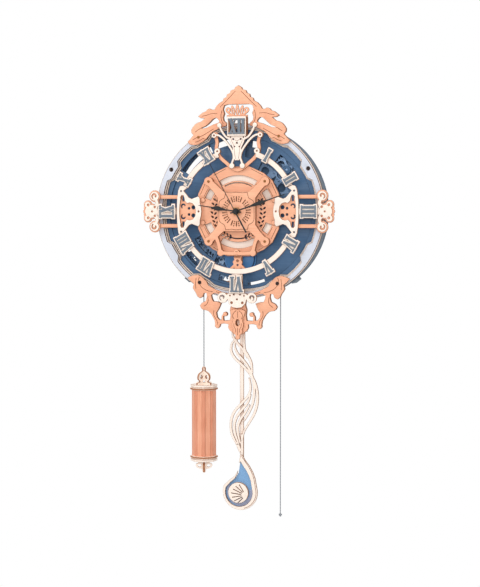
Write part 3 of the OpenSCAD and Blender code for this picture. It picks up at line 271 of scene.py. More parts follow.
def startMaterial(name):
    material = bpy.data.materials.new(name)
    tree = emptyTree(material)
    return material, tree, addNode(tree, "ShaderNodeTexCoord").outputs["Object"]


def endMaterial(tree, height, strength, depth, values, links):
    relief = addNode(tree, "ShaderNodeBump", None, {"Strength": strength, "Distance": depth * mm}, {
        "Height": height})
    shader = addNode(tree, "ShaderNodeBsdfPrincipled", None, values, {**links, "Normal": relief.outputs[0]})
    addNode(tree, "ShaderNodeOutputMaterial", links={"Surface": shader.outputs[0]})


def makePly(name, look):
    material, tree, place = startMaterial(name)
    stretch = [1000 / size for size in alongScale[look["along"]]]
    fibres = addNode(tree, "ShaderNodeMapping", None, {"Scale": stretch}, {"Vector": place})
    streak = addNode(tree, "ShaderNodeTexNoise", None, {
        "Scale": 1, "Detail": grain["detail"], "Roughness": grain["roughness"],
        "Distortion": grain["distortion"],
    }, {"Vector": fibres.outputs[0]})
    drift = addNode(tree, "ShaderNodeTexNoise", None, {
        "Scale": 1000 / grain["drift"], "Detail": grain["driftDetail"]}, {"Vector": place})
    both = addNode(tree, "ShaderNodeMath", {"operation": "MULTIPLY_ADD"}, {1: grain["driftShare"]}, {
        0: drift.outputs[0], 2: streak.outputs[0]})
    tone = addNode(tree, "ShaderNodeMapRange", None, {
        "From Min": grain["toneFrom"], "From Max": grain["toneTo"], "To Max": look["grain"] * grain["tone"],
    }, {"Value": both.outputs[0]})
    paint = addNode(tree, "ShaderNodeMix", {"data_type": "RGBA"}, {
        6: toLinear(look["face"]), 7: toLinear(look["deep"])}, {0: tone.outputs[0]})
    gloss = addNode(tree, "ShaderNodeMapRange", None, {
        "From Min": grain["glossFrom"], "From Max": grain["glossTo"],
        "To Min": look["rough"] - grain["smoother"], "To Max": look["rough"] + grain["rougher"],
    }, {"Value": streak.outputs[0]})
    strength = grain["relief"] * look["grain"] + grain["filmRelief"]
    endMaterial(tree, streak.outputs[0], strength, grain["reliefDepth"], {"IOR": grain["ior"]}, {
        "Base Color": paint.outputs[2], "Roughness": gloss.outputs[0]})
    return material


plainLooks = {
    # Stamped hands under lacquer: glossy black
    "blackLacqueredHand": {"colour": "#101114", "metallic": 0.0, "rough": 0.32, "speck": 0.35},
    # Small steel pan-head screws, blackened: dark brown with a dull shine
    "blackenedScrew": {"colour": "#3A2C2A", "metallic": 0.6, "rough": 0.42, "speck": 0.6},
    # The smaller ones, browned brass: the same shine, lighter
    "brownedBrassScrew": {"colour": "#9A6A3C", "metallic": 0.8, "rough": 0.4, "speck": 0.6},
    # Mild steel bar, sawn and left plain: grey metal
    "plainSteelBar": {"colour": "#85868A", "metallic": 1.0, "rough": 0.45, "speck": 0.6},
    # Injection-moulded ABS with a fine spark-eroded texture: matt black
    "blackMouldedAbs": {"colour": "#17181A", "metallic": 0.0, "rough": 0.55, "speck": 0.5},
    # Setting knob and rim of the cell bay, moulded ABS: satin grey
    "greyMouldedAbs": {"colour": "#4B4E53", "metallic": 0.0, "rough": 0.5, "speck": 0.5},
    # Hexagon nut turned from brass, browned like the small screws
    "brownedBrassNut": {"colour": "#B98A5E", "metallic": 0.7, "rough": 0.4, "speck": 0.4},
    # Dry cell in a nickel-plated steel jacket: bright metal
    "nickelPlatedCell": {"colour": "#C6C9CC", "metallic": 1.0, "rough": 0.25, "speck": 0.3},
}
# Size in mm of the grit that varies metal and plastic, and what it does to tone, gloss and relief
grit = {"size": 0.7, "detail": 3, "toneFrom": 0.35, "toneTo": 0.65, "speck": 0.25, "dark": 0.6,
        "glossFrom": 0.3, "glossTo": 0.7, "smoother": 0.85, "rougher": 1.2,
        "relief": 0.08, "reliefDepth": 0.05}


def makePlain(name, look):
    material, tree, place = startMaterial(name)
    noise = addNode(tree, "ShaderNodeTexNoise", None, {
        "Scale": 1000 / grit["size"], "Detail": grit["detail"]}, {"Vector": place})
    tone = addNode(tree, "ShaderNodeMapRange", None, {
        "From Min": grit["toneFrom"], "From Max": grit["toneTo"],
        "To Min": 1 - grit["speck"] * look["speck"], "To Max": 1.0,
    }, {"Value": noise.outputs[0]})
    base = toLinear(look["colour"])
    dark = [c * grit["dark"] for c in base[:3]] + [1]
    paint = addNode(tree, "ShaderNodeMix", {"data_type": "RGBA"}, {6: dark, 7: base}, {0: tone.outputs[0]})
    gloss = addNode(tree, "ShaderNodeMapRange", None, {
        "From Min": grit["glossFrom"], "From Max": grit["glossTo"],
        "To Min": look["rough"] * grit["smoother"], "To Max": look["rough"] * grit["rougher"],
    }, {"Value": noise.outputs[0]})
    endMaterial(tree, noise.outputs[0], grit["relief"], grit["reliefDepth"], {"Metallic": look["metallic"]}, {
        "Base Color": paint.outputs[2], "Roughness": gloss.outputs[0]})
    return material


# Thin braided polyester: matt grey with slanting strands. They repeat every 1.1 mm on such a cord, and are
# drawn about four times as coarse so that they show. A diagonal wave of scale 1 repeats every tau / 10.
cordLook = {"colour": "#A4A7AC", "deep": "#7C8086", "repeat": 4.147, "waver": 0.5, "rough": 0.8,
            "relief": 0.4, "reliefDepth": 0.15}


def makeCordMaterial(name):
    material, tree, place = startMaterial(name)
    strands = addNode(tree, "ShaderNodeTexWave", {"bands_direction": "DIAGONAL"}, {
        "Scale": math.tau / 10 * 1000 / cordLook["repeat"], "Distortion": cordLook["waver"],
    }, {"Vector": place})
    paint = addNode(tree, "ShaderNodeMix", {"data_type": "RGBA"}, {
        6: toLinear(cordLook["deep"]), 7: toLinear(cordLook["colour"])}, {0: strands.outputs[0]})
    endMaterial(tree, strands.outputs[0], cordLook["relief"], cordLook["reliefDepth"], {
        "Roughness": cordLook["rough"]}, {"Base Color": paint.outputs[2]})
    return material


finishes = {name: makePly(name, look) for name, look in plyLooks.items()}
finishes.update({name: makePlain(name, look) for name, look in plainLooks.items()})
finishes["braidedPolyesterCord"] = makeCordMaterial("braidedPolyesterCord")
print(len(finishes), "finishes made")


# A piece fixed to a node moves with its body. One that stands for a node also hides it.

def toObject(name, bm, materials):
    mesh = bpy.data.meshes.new(name)
    bm.to_mesh(mesh)
    bm.free()
    for material in materials:
        mesh.materials.append(finishes[material])
    piece = bpy.data.objects.new(name, mesh)
    bpy.context.scene.collection.objects.link(piece)
    return piece


def fixTo(piece, node):
    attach(piece, nodes[node]["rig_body"])


def standFor(piece, node):
    fixTo(piece, node)
    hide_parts(node)


# Flat layers: a copy of the node's mesh with a small chamfer, its faces printed and its sides browned

# Chamfer and weld in mm, spike in chamfers, smoothBelow in degrees; flat is the least share of a normal that
# points straight out of the layer where a face counts as its front or back
sawn = {"chamfer": 0.26, "spike": 2.5, "weld": 0.002, "flat": 0.7, "smoothBelow": 32}


# Front and back are drawn in by the chamfer, and the rim that this leaves slopes back to the sides. A sharp
# tip isn't drawn in further than the spike.
def sawnLayer(node, face, side, rim):
    bm = bmesh.new()
    bm.from_mesh(nodes[node].data)
    bmesh.ops.remove_doubles(bm, verts=bm.verts, dist=sawn["weld"] * mm)
    bm.normal_update()
    for f in bm.faces:
        f.smooth = True
        f.material_index = 0 if abs(f.normal.y) > sawn["flat"] else 1
    chamfer = sawn["chamfer"] * mm
    for way in (-1, 1):
        caps = [f for f in bm.faces if f.normal.y * way > sawn["flat"]]
        slopes = bmesh.ops.inset_region(bm, faces=caps, thickness=chamfer, use_boundary=True,
                                        use_even_offset=True)["faces"]
        inner = {v for f in caps for v in f.verts}
        outer = {v for f in slopes for v in f.verts} - inner
        for f in slopes:
            f.smooth = True
            f.material_index = 2
        for v in outer:
            for e in v.link_edges:
                drawn = e.other_vert(v)
                shift = drawn.co - v.co
                if drawn in inner and shift.length > sawn["spike"] * chamfer:
                    drawn.co = v.co + shift * (sawn["spike"] * chamfer / shift.length)
        for v in outer:
            v.co.y -= way * chamfer
    piece = toObject(node + "Layer", bm, [face, side, rim])
    piece.data.set_sharp_from_angle(angle=math.radians(sawn["smoothBelow"]))
    standFor(piece, node)


layerPlan = [  # finishes of faces, sides and rims, and the nodes that have them
    ("peachPrintedPly", "peachPlyEdge", "charredPlyRim", [
        "crest", "crest_crown", "twelve_block", "heart_frame", "side_rails", "side_scroll_backs",
        "bracket_filigree", "bottom_post", "lower_ornament", "lower_torso", "medallion_back",
        "medallion_frame", "medallion_panel", "anchor"]),
    ("creamPrintedPly", "creamPlyEdge", "charredPlyRim", [
        "cardinal_plaques", "hour_plaques", "dial_ring", "heart_scroll", "side_scrolls", "side_brackets",
        "bottom_scroll", "medallion_underlay", "pendulum_hanger", "pendulum_strands", "bob_frame",
        "bob_shell"]),
    ("bareBirchDowel", "peachPlyEdge", "charredPlyRim", ["click_pawls", "cord_pulley"]),
    ("creamPrintedPly", "ringPlyEdge", "ringPlyEdge", ["inner_liner", "ring_backing"]),
    ("paleBluePrintedPly", "ringPlyEdge", "ringPlyEdge", ["front_ring"]),
    ("slatePrintedPly", "slatePrintedPly", "slatePrintedPly", ["numeral_inlays"]),
    # Back plate: its blue is lightened, painted light against the shade inside the case
    ("innerBluePlyPaintedLight", "scorchedBlueEdge", "scorchedBlueEdge", ["back_plate"]),
    ("steelBluePrintedPly", "scorchedBlueEdge", "scorchedBlueEdge", ["front_plate", "plate_ring"]),
    ("bossBluePrintedPly", "scorchedBlueEdge", "scorchedBlueEdge", ["lower_boss"]),
    ("dropBluePrintedPly", "scorchedBlueEdge", "scorchedBlueEdge", ["bob_back"]),
    # Wheels: their blues are lightened, painted light against the shade inside the case
    ("gearBluePlyPaintedLight", "gearPlyEdge", "gearPlyEdge", [
        "great_wheel", "second_wheel", "third_wheel", "top_wheel"]),
    ("lightGearPlyPaintedLight", "gearPlyEdge", "gearPlyEdge", ["escape_wheel"]),
]
for face, side, rim, layers in layerPlan:
    for node in layers:
        sawnLayer(node, face, side, rim)
print(sum(len(layers) for *_, layers in layerPlan), "flat layers cut")


# Nodes that keep their own mesh

plainPlan = {
    "bentRimPly": ["rim_band"],
    "bareBirchDowel": ["case_pillars", "bearing_collar", "medallion_pillars"],
    "blackLacqueredHand": ["hour_hand", "minute_hand", "second_hand"],
    "blackMouldedAbs": ["movement_case"],
    "brownedBrassNut": ["movement_nut"],
    "nickelPlatedCell": ["battery"],
    "plainSteelBar": ["weight_core"],
}
for finish, kept in plainPlan.items():
    for node in kept:
        nodes[node].data.materials.clear()
        nodes[node].data.materials.append(finishes[finish])
print(sum(len(kept) for kept in plainPlan.values()), "nodes finished as they are")


# Outlines in mm, x to the right and z up. A place is from the dial's centre, with its depth from the wall.

def at(x, depth, z):
    return Vector((x * mm, -depth * mm, z * mm + dialCentre.z))


def frontOf(node):
    return -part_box(node)[0].y / mm


def polar(r, a):
    return (r * math.cos(math.radians(a)), r * math.sin(math.radians(a)))


def moved(points, by):
    return [(x + by[0], z + by[1]) for x, z in points]


def mirrored(points):
    return [(-x, z) for x, z in points]


def arc(r, a0, a1, n, centre=(0, 0)):
    return moved([polar(r, a0 + (a1 - a0) * i / n) for i in range(n + 1)], centre)


def oval(cx, cz, rx, rz, n=20):
    return [(cx + rx * math.cos(i * math.tau / n), cz + rz * math.sin(i * math.tau / n)) for i in range(n)]


def rectangle(left, right, low, high):
    return [(left, low), (right, low), (right, high), (left, high)]


# A curve through all the points, with this many steps from one to the next
def smoothPath(points, steps):
    result = []
    last = len(points) - 1
    for i in range(last):
        a, b, c, d = (Vector(points[max(0, min(last, i + k))]) for k in (-1, 0, 1, 2))
        for j in range(steps):
            t = j / steps
            bend = (2 * a - 5 * b + 4 * c - d) * t * t + (3 * b - a - 3 * c + d) * t ** 3
            result.append(0.5 * (2 * b + (c - a) * t + bend))
    return result + [Vector(points[last])]


# The first loop is the outside and the rest are holes. The plate is made flat, and the place function then
# puts it in the scene.
def cutPlate(bm, loops, thickness, place, sideFinish=1):
    edges = []
    for loop in loops:
        ring = [bm.verts.new((x * mm, z * mm, 0)) for x, z in loop]
        edges += [bm.edges.new((ring[i - 1], ring[i])) for i in range(len(ring))]
    flat = [f for f in bmesh.ops.triangle_fill(bm, edges=edges, use_beauty=True)["geom"]
            if isinstance(f, bmesh.types.BMFace)]
    grown = bmesh.ops.extrude_face_region(bm, geom=flat)["geom"]
    top = [v for v in grown if isinstance(v, bmesh.types.BMVert)]
    bmesh.ops.translate(bm, verts=top, vec=(0, 0, thickness * mm))
    faces = {f for v in top for f in v.link_faces} | set(flat)
    bmesh.ops.recalc_face_normals(bm, faces=list(faces))
    for f in faces:
        f.material_index = 0 if abs(f.normal.z) > sawn["flat"] else sideFinish
    for v in {v for f in faces for v in f.verts}:
        v.co = place(v.co)


# A plate whose thickness grows from a depth towards the viewer, or with way -1 towards the wall
def facing(depth, x=0, z=0, way=1):
    return lambda co: at(x, depth, z) + Vector((co.x, -way * co.z, co.y))


# Rings of radius and height, joined in order and closed at the first. It gives the faces of each band and the
# last ring, which is open.
def turned(bm, rings, sides, place):
    rows = [[bm.verts.new(place(Vector((*polar(r * mm, i * 360 / sides), h * mm)))) for i in range(sides)]
            for r, h in rings]
    bands = [[bm.faces.new((low[i - 1], low[i], high[i], high[i - 1])) for i in range(sides)]
             for low, high in zip(rows, rows[1:])]
    bm.faces.new(list(reversed(rows[0])))
    return bands, rows[-1]


def closedPiece(name, bm, materials):
    bmesh.ops.recalc_face_normals(bm, faces=bm.faces)
    return toObject(name, bm, materials)


# Geometry Nodes: a tree with named inputs, run once and kept as a plain mesh

def startTree(name, sockets):
    tree = bpy.data.node_groups.new(name, "GeometryNodeTree")
    ids = {}
    for label, kind in sockets.items():
        socket = tree.interface.new_socket(label, in_out="INPUT", socket_type="NodeSocket" + kind)
        ids[label] = socket.identifier
    tree.interface.new_socket("Result", in_out="OUTPUT", socket_type="NodeSocketGeometry")
    return tree, ids, addNode(tree, "NodeGroupInput").outputs


def endTree(tree, geometry, material):
    real = addNode(tree, "GeometryNodeRealizeInstances", links={0: geometry})
    painted = addNode(tree, "GeometryNodeSetMaterial", links={
        "Geometry": real.outputs[0], "Material": material})
    addNode(tree, "NodeGroupOutput", links={0: painted.outputs[0]})


def pathObject(name, paths):
    points, edges = [], []
    for path in paths:
        edges += [(len(points) + i, len(points) + i + 1) for i in range(len(path) - 1)]
        points += path
    mesh = bpy.data.meshes.new(name)
    mesh.from_pydata(points, edges, [])
    return bpy.data.objects.new(name, mesh)


def grow(name, source, growth, values):
    tree, ids = growth
    bpy.context.scene.collection.objects.link(source)
    maker = source.modifiers.new("maker", "NODES")
    maker.node_group = tree
    for label, value in values.items():
        maker[ids[label]] = value
    seen = bpy.context.evaluated_depsgraph_get()
    mesh = bpy.data.meshes.new_from_object(source.evaluated_get(seen))
    bpy.data.objects.remove(source)
    piece = bpy.data.objects.new(name, mesh)
    bpy.context.scene.collection.objects.link(piece)
    return piece


# Burnt lines: a thin flat strip along each path, sunk half its height into the print

# In mm; a real line is about 0.3 wide, and is drawn wider so that it shows. Rays find the host's face: they
# start by margin beside a point and by lift above it, and are as long as reach.
burnt = {"width": 0.75, "height": 0.08, "steps": 5, "fewest": 3, "margin": 0.5, "lift": 1, "reach": 1.2}
bobCentre = (-1.8, -404)
burntPlan = {
    "medallionContour": {
        "host": "medallion_panel",
        "pairs": [[(16, 27), (17, 22), (18.5, 18.6), (22.5, 16.4), (25.6, 12.6), (26, 4),
                   (26, -4), (25.6, -12.6), (22.5, -16.4), (18.5, -18.6), (17, -22), (16, -26)]],
        "single": [[(-16, 27), (-8, 26.2), (0, 27), (8, 26.2), (16, 27)],
                   [(-16, -26), (-8, -25.2), (0, -26), (8, -25.2), (16, -26)],
                   [(-21, -57), (-10, -56.4), (0, -56.8), (10, -56.4), (21, -57)],
                   [(-21, -61), (-10, -61.6), (0, -61.8), (10, -61.6), (21, -61)]],
    },
    "medallionRim": {
        "host": "medallion_back", "depth": 39, "width": 0.7,  # on the lower of the host's two levels
        "pairs": [[(18.5, 60.4), (36.5, 51.2)], [(49, 40), (56.5, 24)], [(56.5, -23), (48.5, -39)],
                  [(37, -51), (30, -55)],
                  arc(40.6, 30, 40, 5), arc(55, 22, 36, 6), arc(41, 324, 336, 5), arc(55, 322, 336, 5)],
        "single": [arc(46.6, 47, 58, 6)],
    },
    "crestVeins": {
        "host": "crest",
        "pairs": [[(56, 118), (60, 115.8), (64.5, 112.8)],
                  [(36.5, 117), (45, 112.4), (54, 107.4), (63, 104.6), (68, 101.6)],
                  [(31, 138.4), (40, 138.6), (48, 136.4), (54, 135.4)],
                  [(4, 170), (9, 165), (14, 160), (20, 154), (27, 147.6)],
                  [(24, 143), (25.6, 136), (24.6, 129), (22, 124)],
                  [(47, 100.4), (52, 103.6), (58, 100.6), (64, 98.6)]],
    },
    "lowerVeins": {
        "host": "lower_ornament",
        "pairs": [[(58, -93.6), (59.4, -99), (55, -108), (46, -113.2), (38, -114.6)],
                  [(63, -95), (64, -103), (63.4, -111)],
                  [(45.6, -121.6), (45, -128), (47.4, -133), (51.6, -135.6)],
                  [(36.4, -141), (36.6, -148), (31.6, -156.6), (31, -161.6)],
                  [(16, -118.4), (24, -117.2), (33, -114.4)]],
    },
    "torsoFolds": {
        "host": "lower_torso",
        "pairs": [[(2, -141), (5.6, -144), (7.4, -148.4), (5.2, -153)],
                  [(5.4, -159), (5.2, -164), (3, -167.6), (2.8, -172)]],
        "single": [[(0, -142), (0, -151)], [(0, -165), (0, -176)]],
    },
    "bobDoubleLine": {
        "host": "bob_frame",
        "single": [moved(arc(24, -75, 15, 12) + [(21, 19.4), (17.9, 28.4), (12.8, 37.6), (7, 45.6), (3, 51)],
                         bobCentre)],
    },
    "scrollLines": {
        "host": "heart_scroll", "width": 0.45,
        "pairs": [[(9.6, 106), (7.6, 99.4), (4.6, 92), (3.4, 82), (2, 74)]],
        "single": [[(-5.6, 103), (0, 99.6), (5.6, 103)]],
    },
}


def lineGrowth():
    tree, ids, start = startTree("burntLines", {
        "Path": "Geometry", "Width": "Float", "Height": "Float", "Finish": "Material"})
    run = addNode(tree, "GeometryNodeMeshToCurve", links={0: start["Path"]})
    level = addNode(tree, "GeometryNodeSetCurveNormal", {"mode": "Z_UP"}, links={0: run.outputs[0]})
    profile = addNode(tree, "GeometryNodeCurvePrimitiveQuadrilateral", links={
        "Width": start["Width"], "Height": start["Height"]})
    swept = addNode(tree, "GeometryNodeCurveToMesh", None, {"Fill Caps": True}, {
        "Curve": level.outputs[0], "Profile Curve": profile.outputs[0]})
    upright = addNode(tree, "GeometryNodeTransform", None, {"Rotation": (math.pi / 2, 0, 0)}, {
        "Geometry": swept.outputs[0]})
    endTree(tree, upright.outputs[0], start["Finish"])
    return tree, ids


# Only the stretches that lie on the host's own face are burnt. The tree turns the flat paths upright.
def burnLines(name, growth, host, pairs=(), single=(), depth=None, width=burnt["width"]):
    depth = depth or frontOf(host)
    surface = BVHTree.FromPolygons([v.co for v in nodes[host].data.vertices],
                                   [p.vertices for p in nodes[host].data.polygons])
    around = [(-burnt["margin"], 0), (burnt["margin"], 0), (0, -burnt["margin"]), (0, burnt["margin"])]
    runs = []
    for path in [*pairs, *map(mirrored, pairs), *single]:
        run = []
        for p in smoothPath(path, burnt["steps"]):
            starts = [at(x, depth + burnt["lift"], z) for x, z in moved(around, p)]
            if all(surface.ray_cast(start, Vector((0, 1, 0)), burnt["reach"] * mm)[0] for start in starts):
                run.append((p.x * mm, p.y * mm + dialCentre.z, depth * mm))
            else:
                runs.append(run)
                run = []
        runs.append(run)
    paths = pathObject(name + "Paths", [run for run in runs if len(run) >= burnt["fewest"]])
    fixTo(grow(name, paths, growth, {
        "Width": width * mm, "Height": burnt["height"] * mm, "Finish": finishes["burntLine"]}), host)


lineTree = lineGrowth()
for name, plan in burntPlan.items():
    burnLines(name, lineTree, **plan)
print("burnt lines drawn")


# A lavender print on the drop's back layer, round the shell from its left side to its right

crescent = {"from": 150, "to": 375, "steps": 30, "outerR": 20.6, "innerR": 15.4, "innerShift": (-1.4, -0.6),
            "thick": 0.2, "depth": 21.1}  # degrees and mm


def makeCrescent():
    sweep = (crescent["from"], crescent["to"], crescent["steps"])
    outer = arc(crescent["outerR"], *sweep, bobCentre)
    inner = moved(arc(crescent["innerR"], *sweep, bobCentre), crescent["innerShift"])
    bm = bmesh.new()
    cutPlate(bm, [outer + inner[::-1]], crescent["thick"], facing(crescent["depth"]), 0)
    fixTo(closedPiece("bobCrescent", bm, ["lavenderPrintedPly"]), "bob_back")


makeCrescent()
print("bob printed")


# Pan heads with a cross recess, set at the frame's screws

# Lengths in mm; the recess's arm and half width are shares of the radius, its depth one of the height. The
# profile gives shares of radius and height. Spots are x, depth and z, and each has its mirror image.
screw = {"height": 1.0, "sides": 24, "profile": [(1, 0), (1, 0.3), (0.93, 0.72), (0.76, 1)],
         "recessArm": 0.62, "recessHalf": 0.16, "recessDeep": 0.45, "seed": 4}
bigScrews = {"radius": 2.7, "finish": "blackenedScrew", "spots": [(101.5, 33, 60), (57.8, 39, -101.6)]}
smallScrews = {"radius": 1.9, "finish": "brownedBrassScrew",
               "spots": [(59.4, 39, 105.6), (41.6, 47.5, 42.4), (41.6, 47.5, -42.4)]}


def screwHead(radius):
    bm = bmesh.new()
    n, h = screw["sides"], screw["height"]
    rings = [(radius * r, h * z) for r, z in screw["profile"]]
    top = turned(bm, rings, n, lambda co: co)[1]
    a, b = screw["recessArm"] * radius, screw["recessHalf"] * radius
    cross = [(b, b), (b, a), (-b, a), (-b, b), (-a, b), (-a, -b), (-b, -b), (-b, -a),
             (b, -a), (b, -b), (a, -b), (a, b)]
    levels = (h, h * (1 - screw["recessDeep"]))
    lip, floor = ([bm.verts.new((x * mm, y * mm, z * mm)) for x, y in cross] for z in levels)
    edges = [bm.edges.get((top[i - 1], top[i])) for i in range(n)]
    edges += [bm.edges.new((lip[i - 1], lip[i])) for i in range(len(cross))]
    bmesh.ops.triangle_fill(bm, edges=edges, use_beauty=True)
    for i in range(len(cross)):
        bm.faces.new((lip[i - 1], lip[i], floor[i], floor[i - 1]))
    bm.faces.new(floor)
    return closedPiece("screwHead", bm, [])


def screwGrowth():
    tree, ids, start = startTree("screwsAtPoints", {
        "Spots": "Geometry", "Head": "Object", "Finish": "Material"})
    shape = addNode(tree, "GeometryNodeObjectInfo", None, {"As Instance": True}, {"Object": start["Head"]})
    turn = addNode(tree, "FunctionNodeRandomValue", None, {2: 0.0, 3: math.pi / 2, "Seed": screw["seed"]})
    way = addNode(tree, "ShaderNodeCombineXYZ", None, {"X": math.pi / 2}, {"Y": turn.outputs[1]})
    copies = addNode(tree, "GeometryNodeInstanceOnPoints", links={
        "Points": start["Spots"], "Instance": shape.outputs["Geometry"], "Rotation": way.outputs[0]})
    endTree(tree, copies.outputs[0], start["Finish"])
    return tree, ids


def setScrews(name, growth, kind):
    head = screwHead(kind["radius"])
    spots = [[at(way * x, depth, z)] for x, depth, z in kind["spots"] for way in (-1, 1)]
    piece = grow(name, pathObject(name + "Spots", spots), growth, {
        "Head": head, "Finish": finishes[kind["finish"]]})
    bpy.data.objects.remove(head)
    return piece


screwTree = screwGrowth()
standFor(setScrews("faceScrews", screwTree, bigScrews), "face_screws")
fixTo(setScrews("smallScrews", screwTree, smallScrews), "face_screws")
print("screws set")


# Weight: a tube bent at kerf-cut corners, caps of three layers and pierced scroll finials, all turned alike

# In mm and degrees, with heights from the dial's centre; a cap layer is its radius and thickness, the one
# against the tube first, and rolls are the turns of a finial's two crossed plates
weight = {"x": -57.5, "depth": 20.5, "turn": 17, "sides": 8, "top": -224,
          "tubeR": 17.5, "tubeLength": 96, "boreR": 9.1, "boreSides": 48,
          "kerfs": 3, "kerfPitch": 1.15, "kerfStart": 0.6, "kerfWidth": 0.45, "kerfDeep": 0.6, "skin": 0.1,
          "capLayers": [(20, 3), (18.4, 1.5), (19.4, 3)], "capChamfer": 0.3,
          "topFinial": 26, "lowFinial": 18, "topRolls": (45, 135), "lowRolls": (0, 90)}
# Right half of a finial's plate, drawn down from its tip for the top finial's height
finial = {"ply": 3, "steps": 4, "eye": {"x": 6.6, "z": -15, "rx": 2.6, "rz": 2.8},
          "slot": [(0.8, -17), (2.4, -20.4), (4.6, -23)],
          "scroll": [(0.9, 0), (2.6, -3.4), (2.2, -6.4), (5, -8), (9.4, -10.4), (11.9, -14.4), (11.4, -18.4),
                     (9, -20.4), (8.2, -22), (10, -23)],
          "foot": [(14, -23.4), (14, -26)]}
weightAxis = Vector((weight["x"] * mm, -weight["depth"] * mm, dialCentre.z))


def onWeight(z, roll=0, upright=False, flip=1):
    turn = Matrix.Rotation(math.radians(weight["turn"] + roll), 3, "Z")

    def place(co):
        local = Vector((co.x, -co.z, co.y * flip)) if upright else co
        return turn @ local + weightAxis + Vector((0, 0, z * mm))
    return place


def kerfTubeOutline():
    outline, n = [], weight["sides"]
    for i in range(n):
        a, b = (Vector(polar(weight["tubeR"], (i + k) * 360 / n)) for k in (0, 1))
        way = (b - a).normalized()
        inward = Vector((-way.y, way.x))
        near = [weight["kerfPitch"] * (k + weight["kerfStart"]) for k in range(weight["kerfs"])]
        far = [(b - a).length - run for run in reversed(near)]
        outline.append(tuple(a))
        for run in near + far:
            for step, deep in ((-0.5, 0), (-0.5, 1), (0.5, 1), (0.5, 0)):
                p = a + way * (run + step * weight["kerfWidth"]) + inward * deep * weight["kerfDeep"]
                outline.append(tuple(p))
    return outline


# The outside faces are bare wood, and what lies deeper than the skin, in kerfs and bore, is browned wood
def makeTube(low):
    bm = bmesh.new()
    bore = oval(0, 0, weight["boreR"], weight["boreR"], weight["boreSides"])
    cutPlate(bm, [kerfTubeOutline(), bore], weight["tubeLength"], onWeight(low))
    outside = (weight["tubeR"] * math.cos(math.pi / weight["sides"]) - weight["skin"]) * mm
    for f in bm.faces:
        if (f.calc_center_median() - weightAxis).xy.length > outside:
            f.material_index = 0
    standFor(closedPiece("weightTube", bm, ["salmonSlatWood", "kerfCutSlat"]), "weight_body")


def addFinial(bm, height, z, flip, rolls):
    k = height / weight["topFinial"]
    eye = finial["eye"]

    def bothSides(half):
        half = [(x, y * k) for x, y in half]
        return half + mirrored(half)[::-1]

    eyes = [oval(way * eye["x"], eye["z"] * k, eye["rx"], eye["rz"] * k) for way in (-1, 1)]
    outline = bothSides([*smoothPath(finial["scroll"], finial["steps"]), *finial["foot"]])
    half = Vector((0, 0, finial["ply"] * mm / 2))
    for roll in rolls:
        spot = onWeight(z, roll, True, flip)
        cutPlate(bm, [outline, *eyes, bothSides(finial["slot"])], finial["ply"], lambda co: spot(co - half))


# Only the layer against the tube shows its plies on its sides; the others show them on their chamfers
def addCap(bm, z, way):
    rim = weight["capChamfer"]
    for count, (radius, thick) in enumerate(weight["capLayers"]):
        rings = [(radius - rim, 0), (radius, rim), (radius, thick - rim), (radius - rim, thick)]
        bands, top = turned(bm, rings, weight["sides"], onWeight(z if way > 0 else z - thick))
        bm.faces.new(top)
        for level, band in enumerate(bands):
            for face in band:
                face.material_index = int((level == 1) == (count == 0))
        z += way * thick


def makeCaps(high, low):
    bm = bmesh.new()
    capHeight = sum(thick for _, thick in weight["capLayers"])
    addFinial(bm, weight["topFinial"], weight["top"], 1, weight["topRolls"])
    addCap(bm, high, 1)
    addCap(bm, low, -1)
    addFinial(bm, weight["lowFinial"], low - capHeight - weight["lowFinial"], -1, weight["lowRolls"])
    standFor(closedPiece("weightCapsAndFinials", bm, ["creamPrintedPly", "peachPlyEdge"]), "weight_ends")


tubeHigh = weight["top"] - weight["topFinial"] - sum(thick for _, thick in weight["capLayers"])
makeTube(tubeHigh - weight["tubeLength"])
makeCaps(tubeHigh, tubeHigh - weight["tubeLength"])
print("weight built")


# Back of the movement, seen through the round window: setting knob, rim of the cell bay and its contacts

# In mm from the dial's centre; a contact stands just past each end of the cell
back = {"face": 20.1, "knob": (9, -11), "knobR": 6.2, "knobTooth": 0.35, "teeth": 36, "knobOut": 1.5,
        "bossR": 2.6, "bossOut": 1.9,
        "bayLeft": -24.6, "bayRight": -7.4, "bayHalf": 26.4, "rim": 1.2, "rimOut": 0.6,
        "contactX": -16, "contactWidth": 5, "contactDepth": 6.5, "contactThick": 0.4, "contactIn": 0.2,
        "contactAt": 25.1}


def makeMovementTrim():
    knurl = [polar(back["knobR"] - (i % 2) * back["knobTooth"], i * 180 / back["teeth"])
             for i in range(2 * back["teeth"])]
    boss = oval(0, 0, back["bossR"], back["bossR"])
    left, right, half, rim = (back[key] for key in ("bayLeft", "bayRight", "bayHalf", "rim"))
    bay = rectangle(left, right, -half, half)
    aroundBay = rectangle(left - rim, right + rim, -half - rim, half + rim)
    bm = bmesh.new()
    cutPlate(bm, [knurl], back["knobOut"], facing(back["face"], *back["knob"], -1), 0)
    cutPlate(bm, [boss], back["bossOut"], facing(back["face"], *back["knob"], -1), 0)
    cutPlate(bm, [aroundBay, bay], back["rimOut"], facing(back["face"], way=-1), 0)
    fixTo(closedPiece("movementTrim", bm, ["greyMouldedAbs"]), "movement_case")


def makeContacts():
    half, thick = back["contactWidth"] / 2, back["contactThick"]
    strip = rectangle(-half, half, -back["contactDepth"], 0)
    bm = bmesh.new()
    for z in (-back["contactAt"] - thick, back["contactAt"]):
        spot = at(back["contactX"], back["face"] + back["contactIn"], z)
        cutPlate(bm, [strip], thick, lambda co: spot + co, 0)
    fixTo(closedPiece("cellContacts", bm, ["nickelPlatedCell"]), "battery")


makeMovementTrim()
makeContacts()
print("movement trimmed")


# Cords: one braided line from the weight, over the pulley and down to a knot

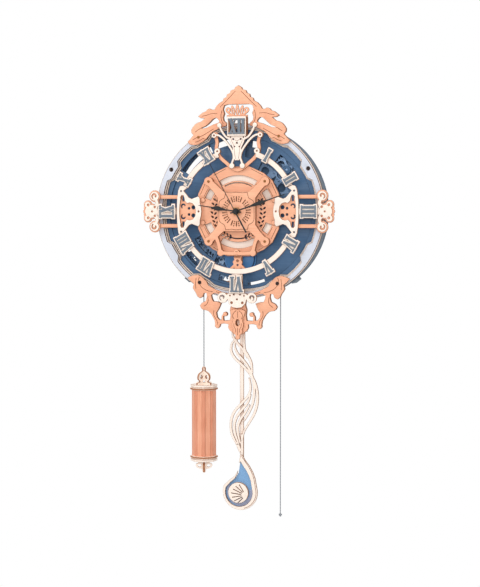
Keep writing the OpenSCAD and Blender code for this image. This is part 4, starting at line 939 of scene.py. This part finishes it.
# In mm, with heights from the dial's centre; the line leaves the pulley on the weight's side and the other
line = {"x": -weight["x"], "depth": weight["depth"], "diameter": 1.4, "weightEnd": weight["top"],
        "pullEnd": -432.8, "step": 3.6, "sides": 12, "turnSteps": 60}
knotShape = {"height": -434.4, "size": 0.62, "steps": 48, "loops": 2, "lift": 0.9}  # a trefoil


def cordGrowth():
    tree, ids, start = startTree("cordTubes", {"Path": "Geometry", "Radius": "Float", "Finish": "Material"})
    run = addNode(tree, "GeometryNodeMeshToCurve", links={0: start["Path"]})
    circle = addNode(tree, "GeometryNodeCurvePrimitiveCircle", None, {"Resolution": line["sides"]}, {
        "Radius": start["Radius"]})
    tube = addNode(tree, "GeometryNodeCurveToMesh", None, {"Fill Caps": True}, {
        "Curve": run.outputs[0], "Profile Curve": circle.outputs[0]})
    smooth = addNode(tree, "GeometryNodeSetShadeSmooth", links={"Geometry": tube.outputs[0]})
    endTree(tree, smooth.outputs[0], start["Finish"])
    return tree, ids


cordTree = cordGrowth()


def makeCord(name, points):
    return grow(name, pathObject(name + "Path", [points]), cordTree, {
        "Radius": line["diameter"] / 2 * mm, "Finish": finishes["braidedPolyesterCord"]})


def makeKnot():
    points = []
    for i in range(knotShape["steps"] + 1):
        t = i * math.tau / knotShape["steps"]
        x = knotShape["size"] * (math.sin(t) + knotShape["loops"] * math.sin(2 * t))
        y = -knotShape["size"] * knotShape["lift"] * math.sin(3 * t)
        z = knotShape["size"] * (math.cos(t) - knotShape["loops"] * math.cos(2 * t))
        points.append(at(line["x"] + x, line["depth"] + y, knotShape["height"] + z))
    return makeCord("pullKnot", points)


def makeTurn():
    angles = [math.pi * i / line["turnSteps"] for i in range(line["turnSteps"] + 1)]
    points = [at(line["x"] * math.cos(a), line["depth"], line["x"] * math.sin(a)) for a in angles]
    return makeCord("cordOverPulley", points)


# A straight cord from the pulley's side, stretched between the case and the body at its low end
def hangCord(name, node, x, low):
    n = round(-low / line["step"])
    path = [at(x, line["depth"], low * i / n) for i in range(n + 1)]
    cord = makeCord(name, path)
    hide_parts(node)
    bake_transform(cord)


knot = makeKnot()
standFor(knot, "pull_knot")
standFor(makeTurn(), "cord_turn")
hangCord("weightCord", "weight_cord", -line["x"], line["weightEnd"])
hangCord("pullCord", "pull_cord", line["x"], line["pullEnd"])
print("cords hung")
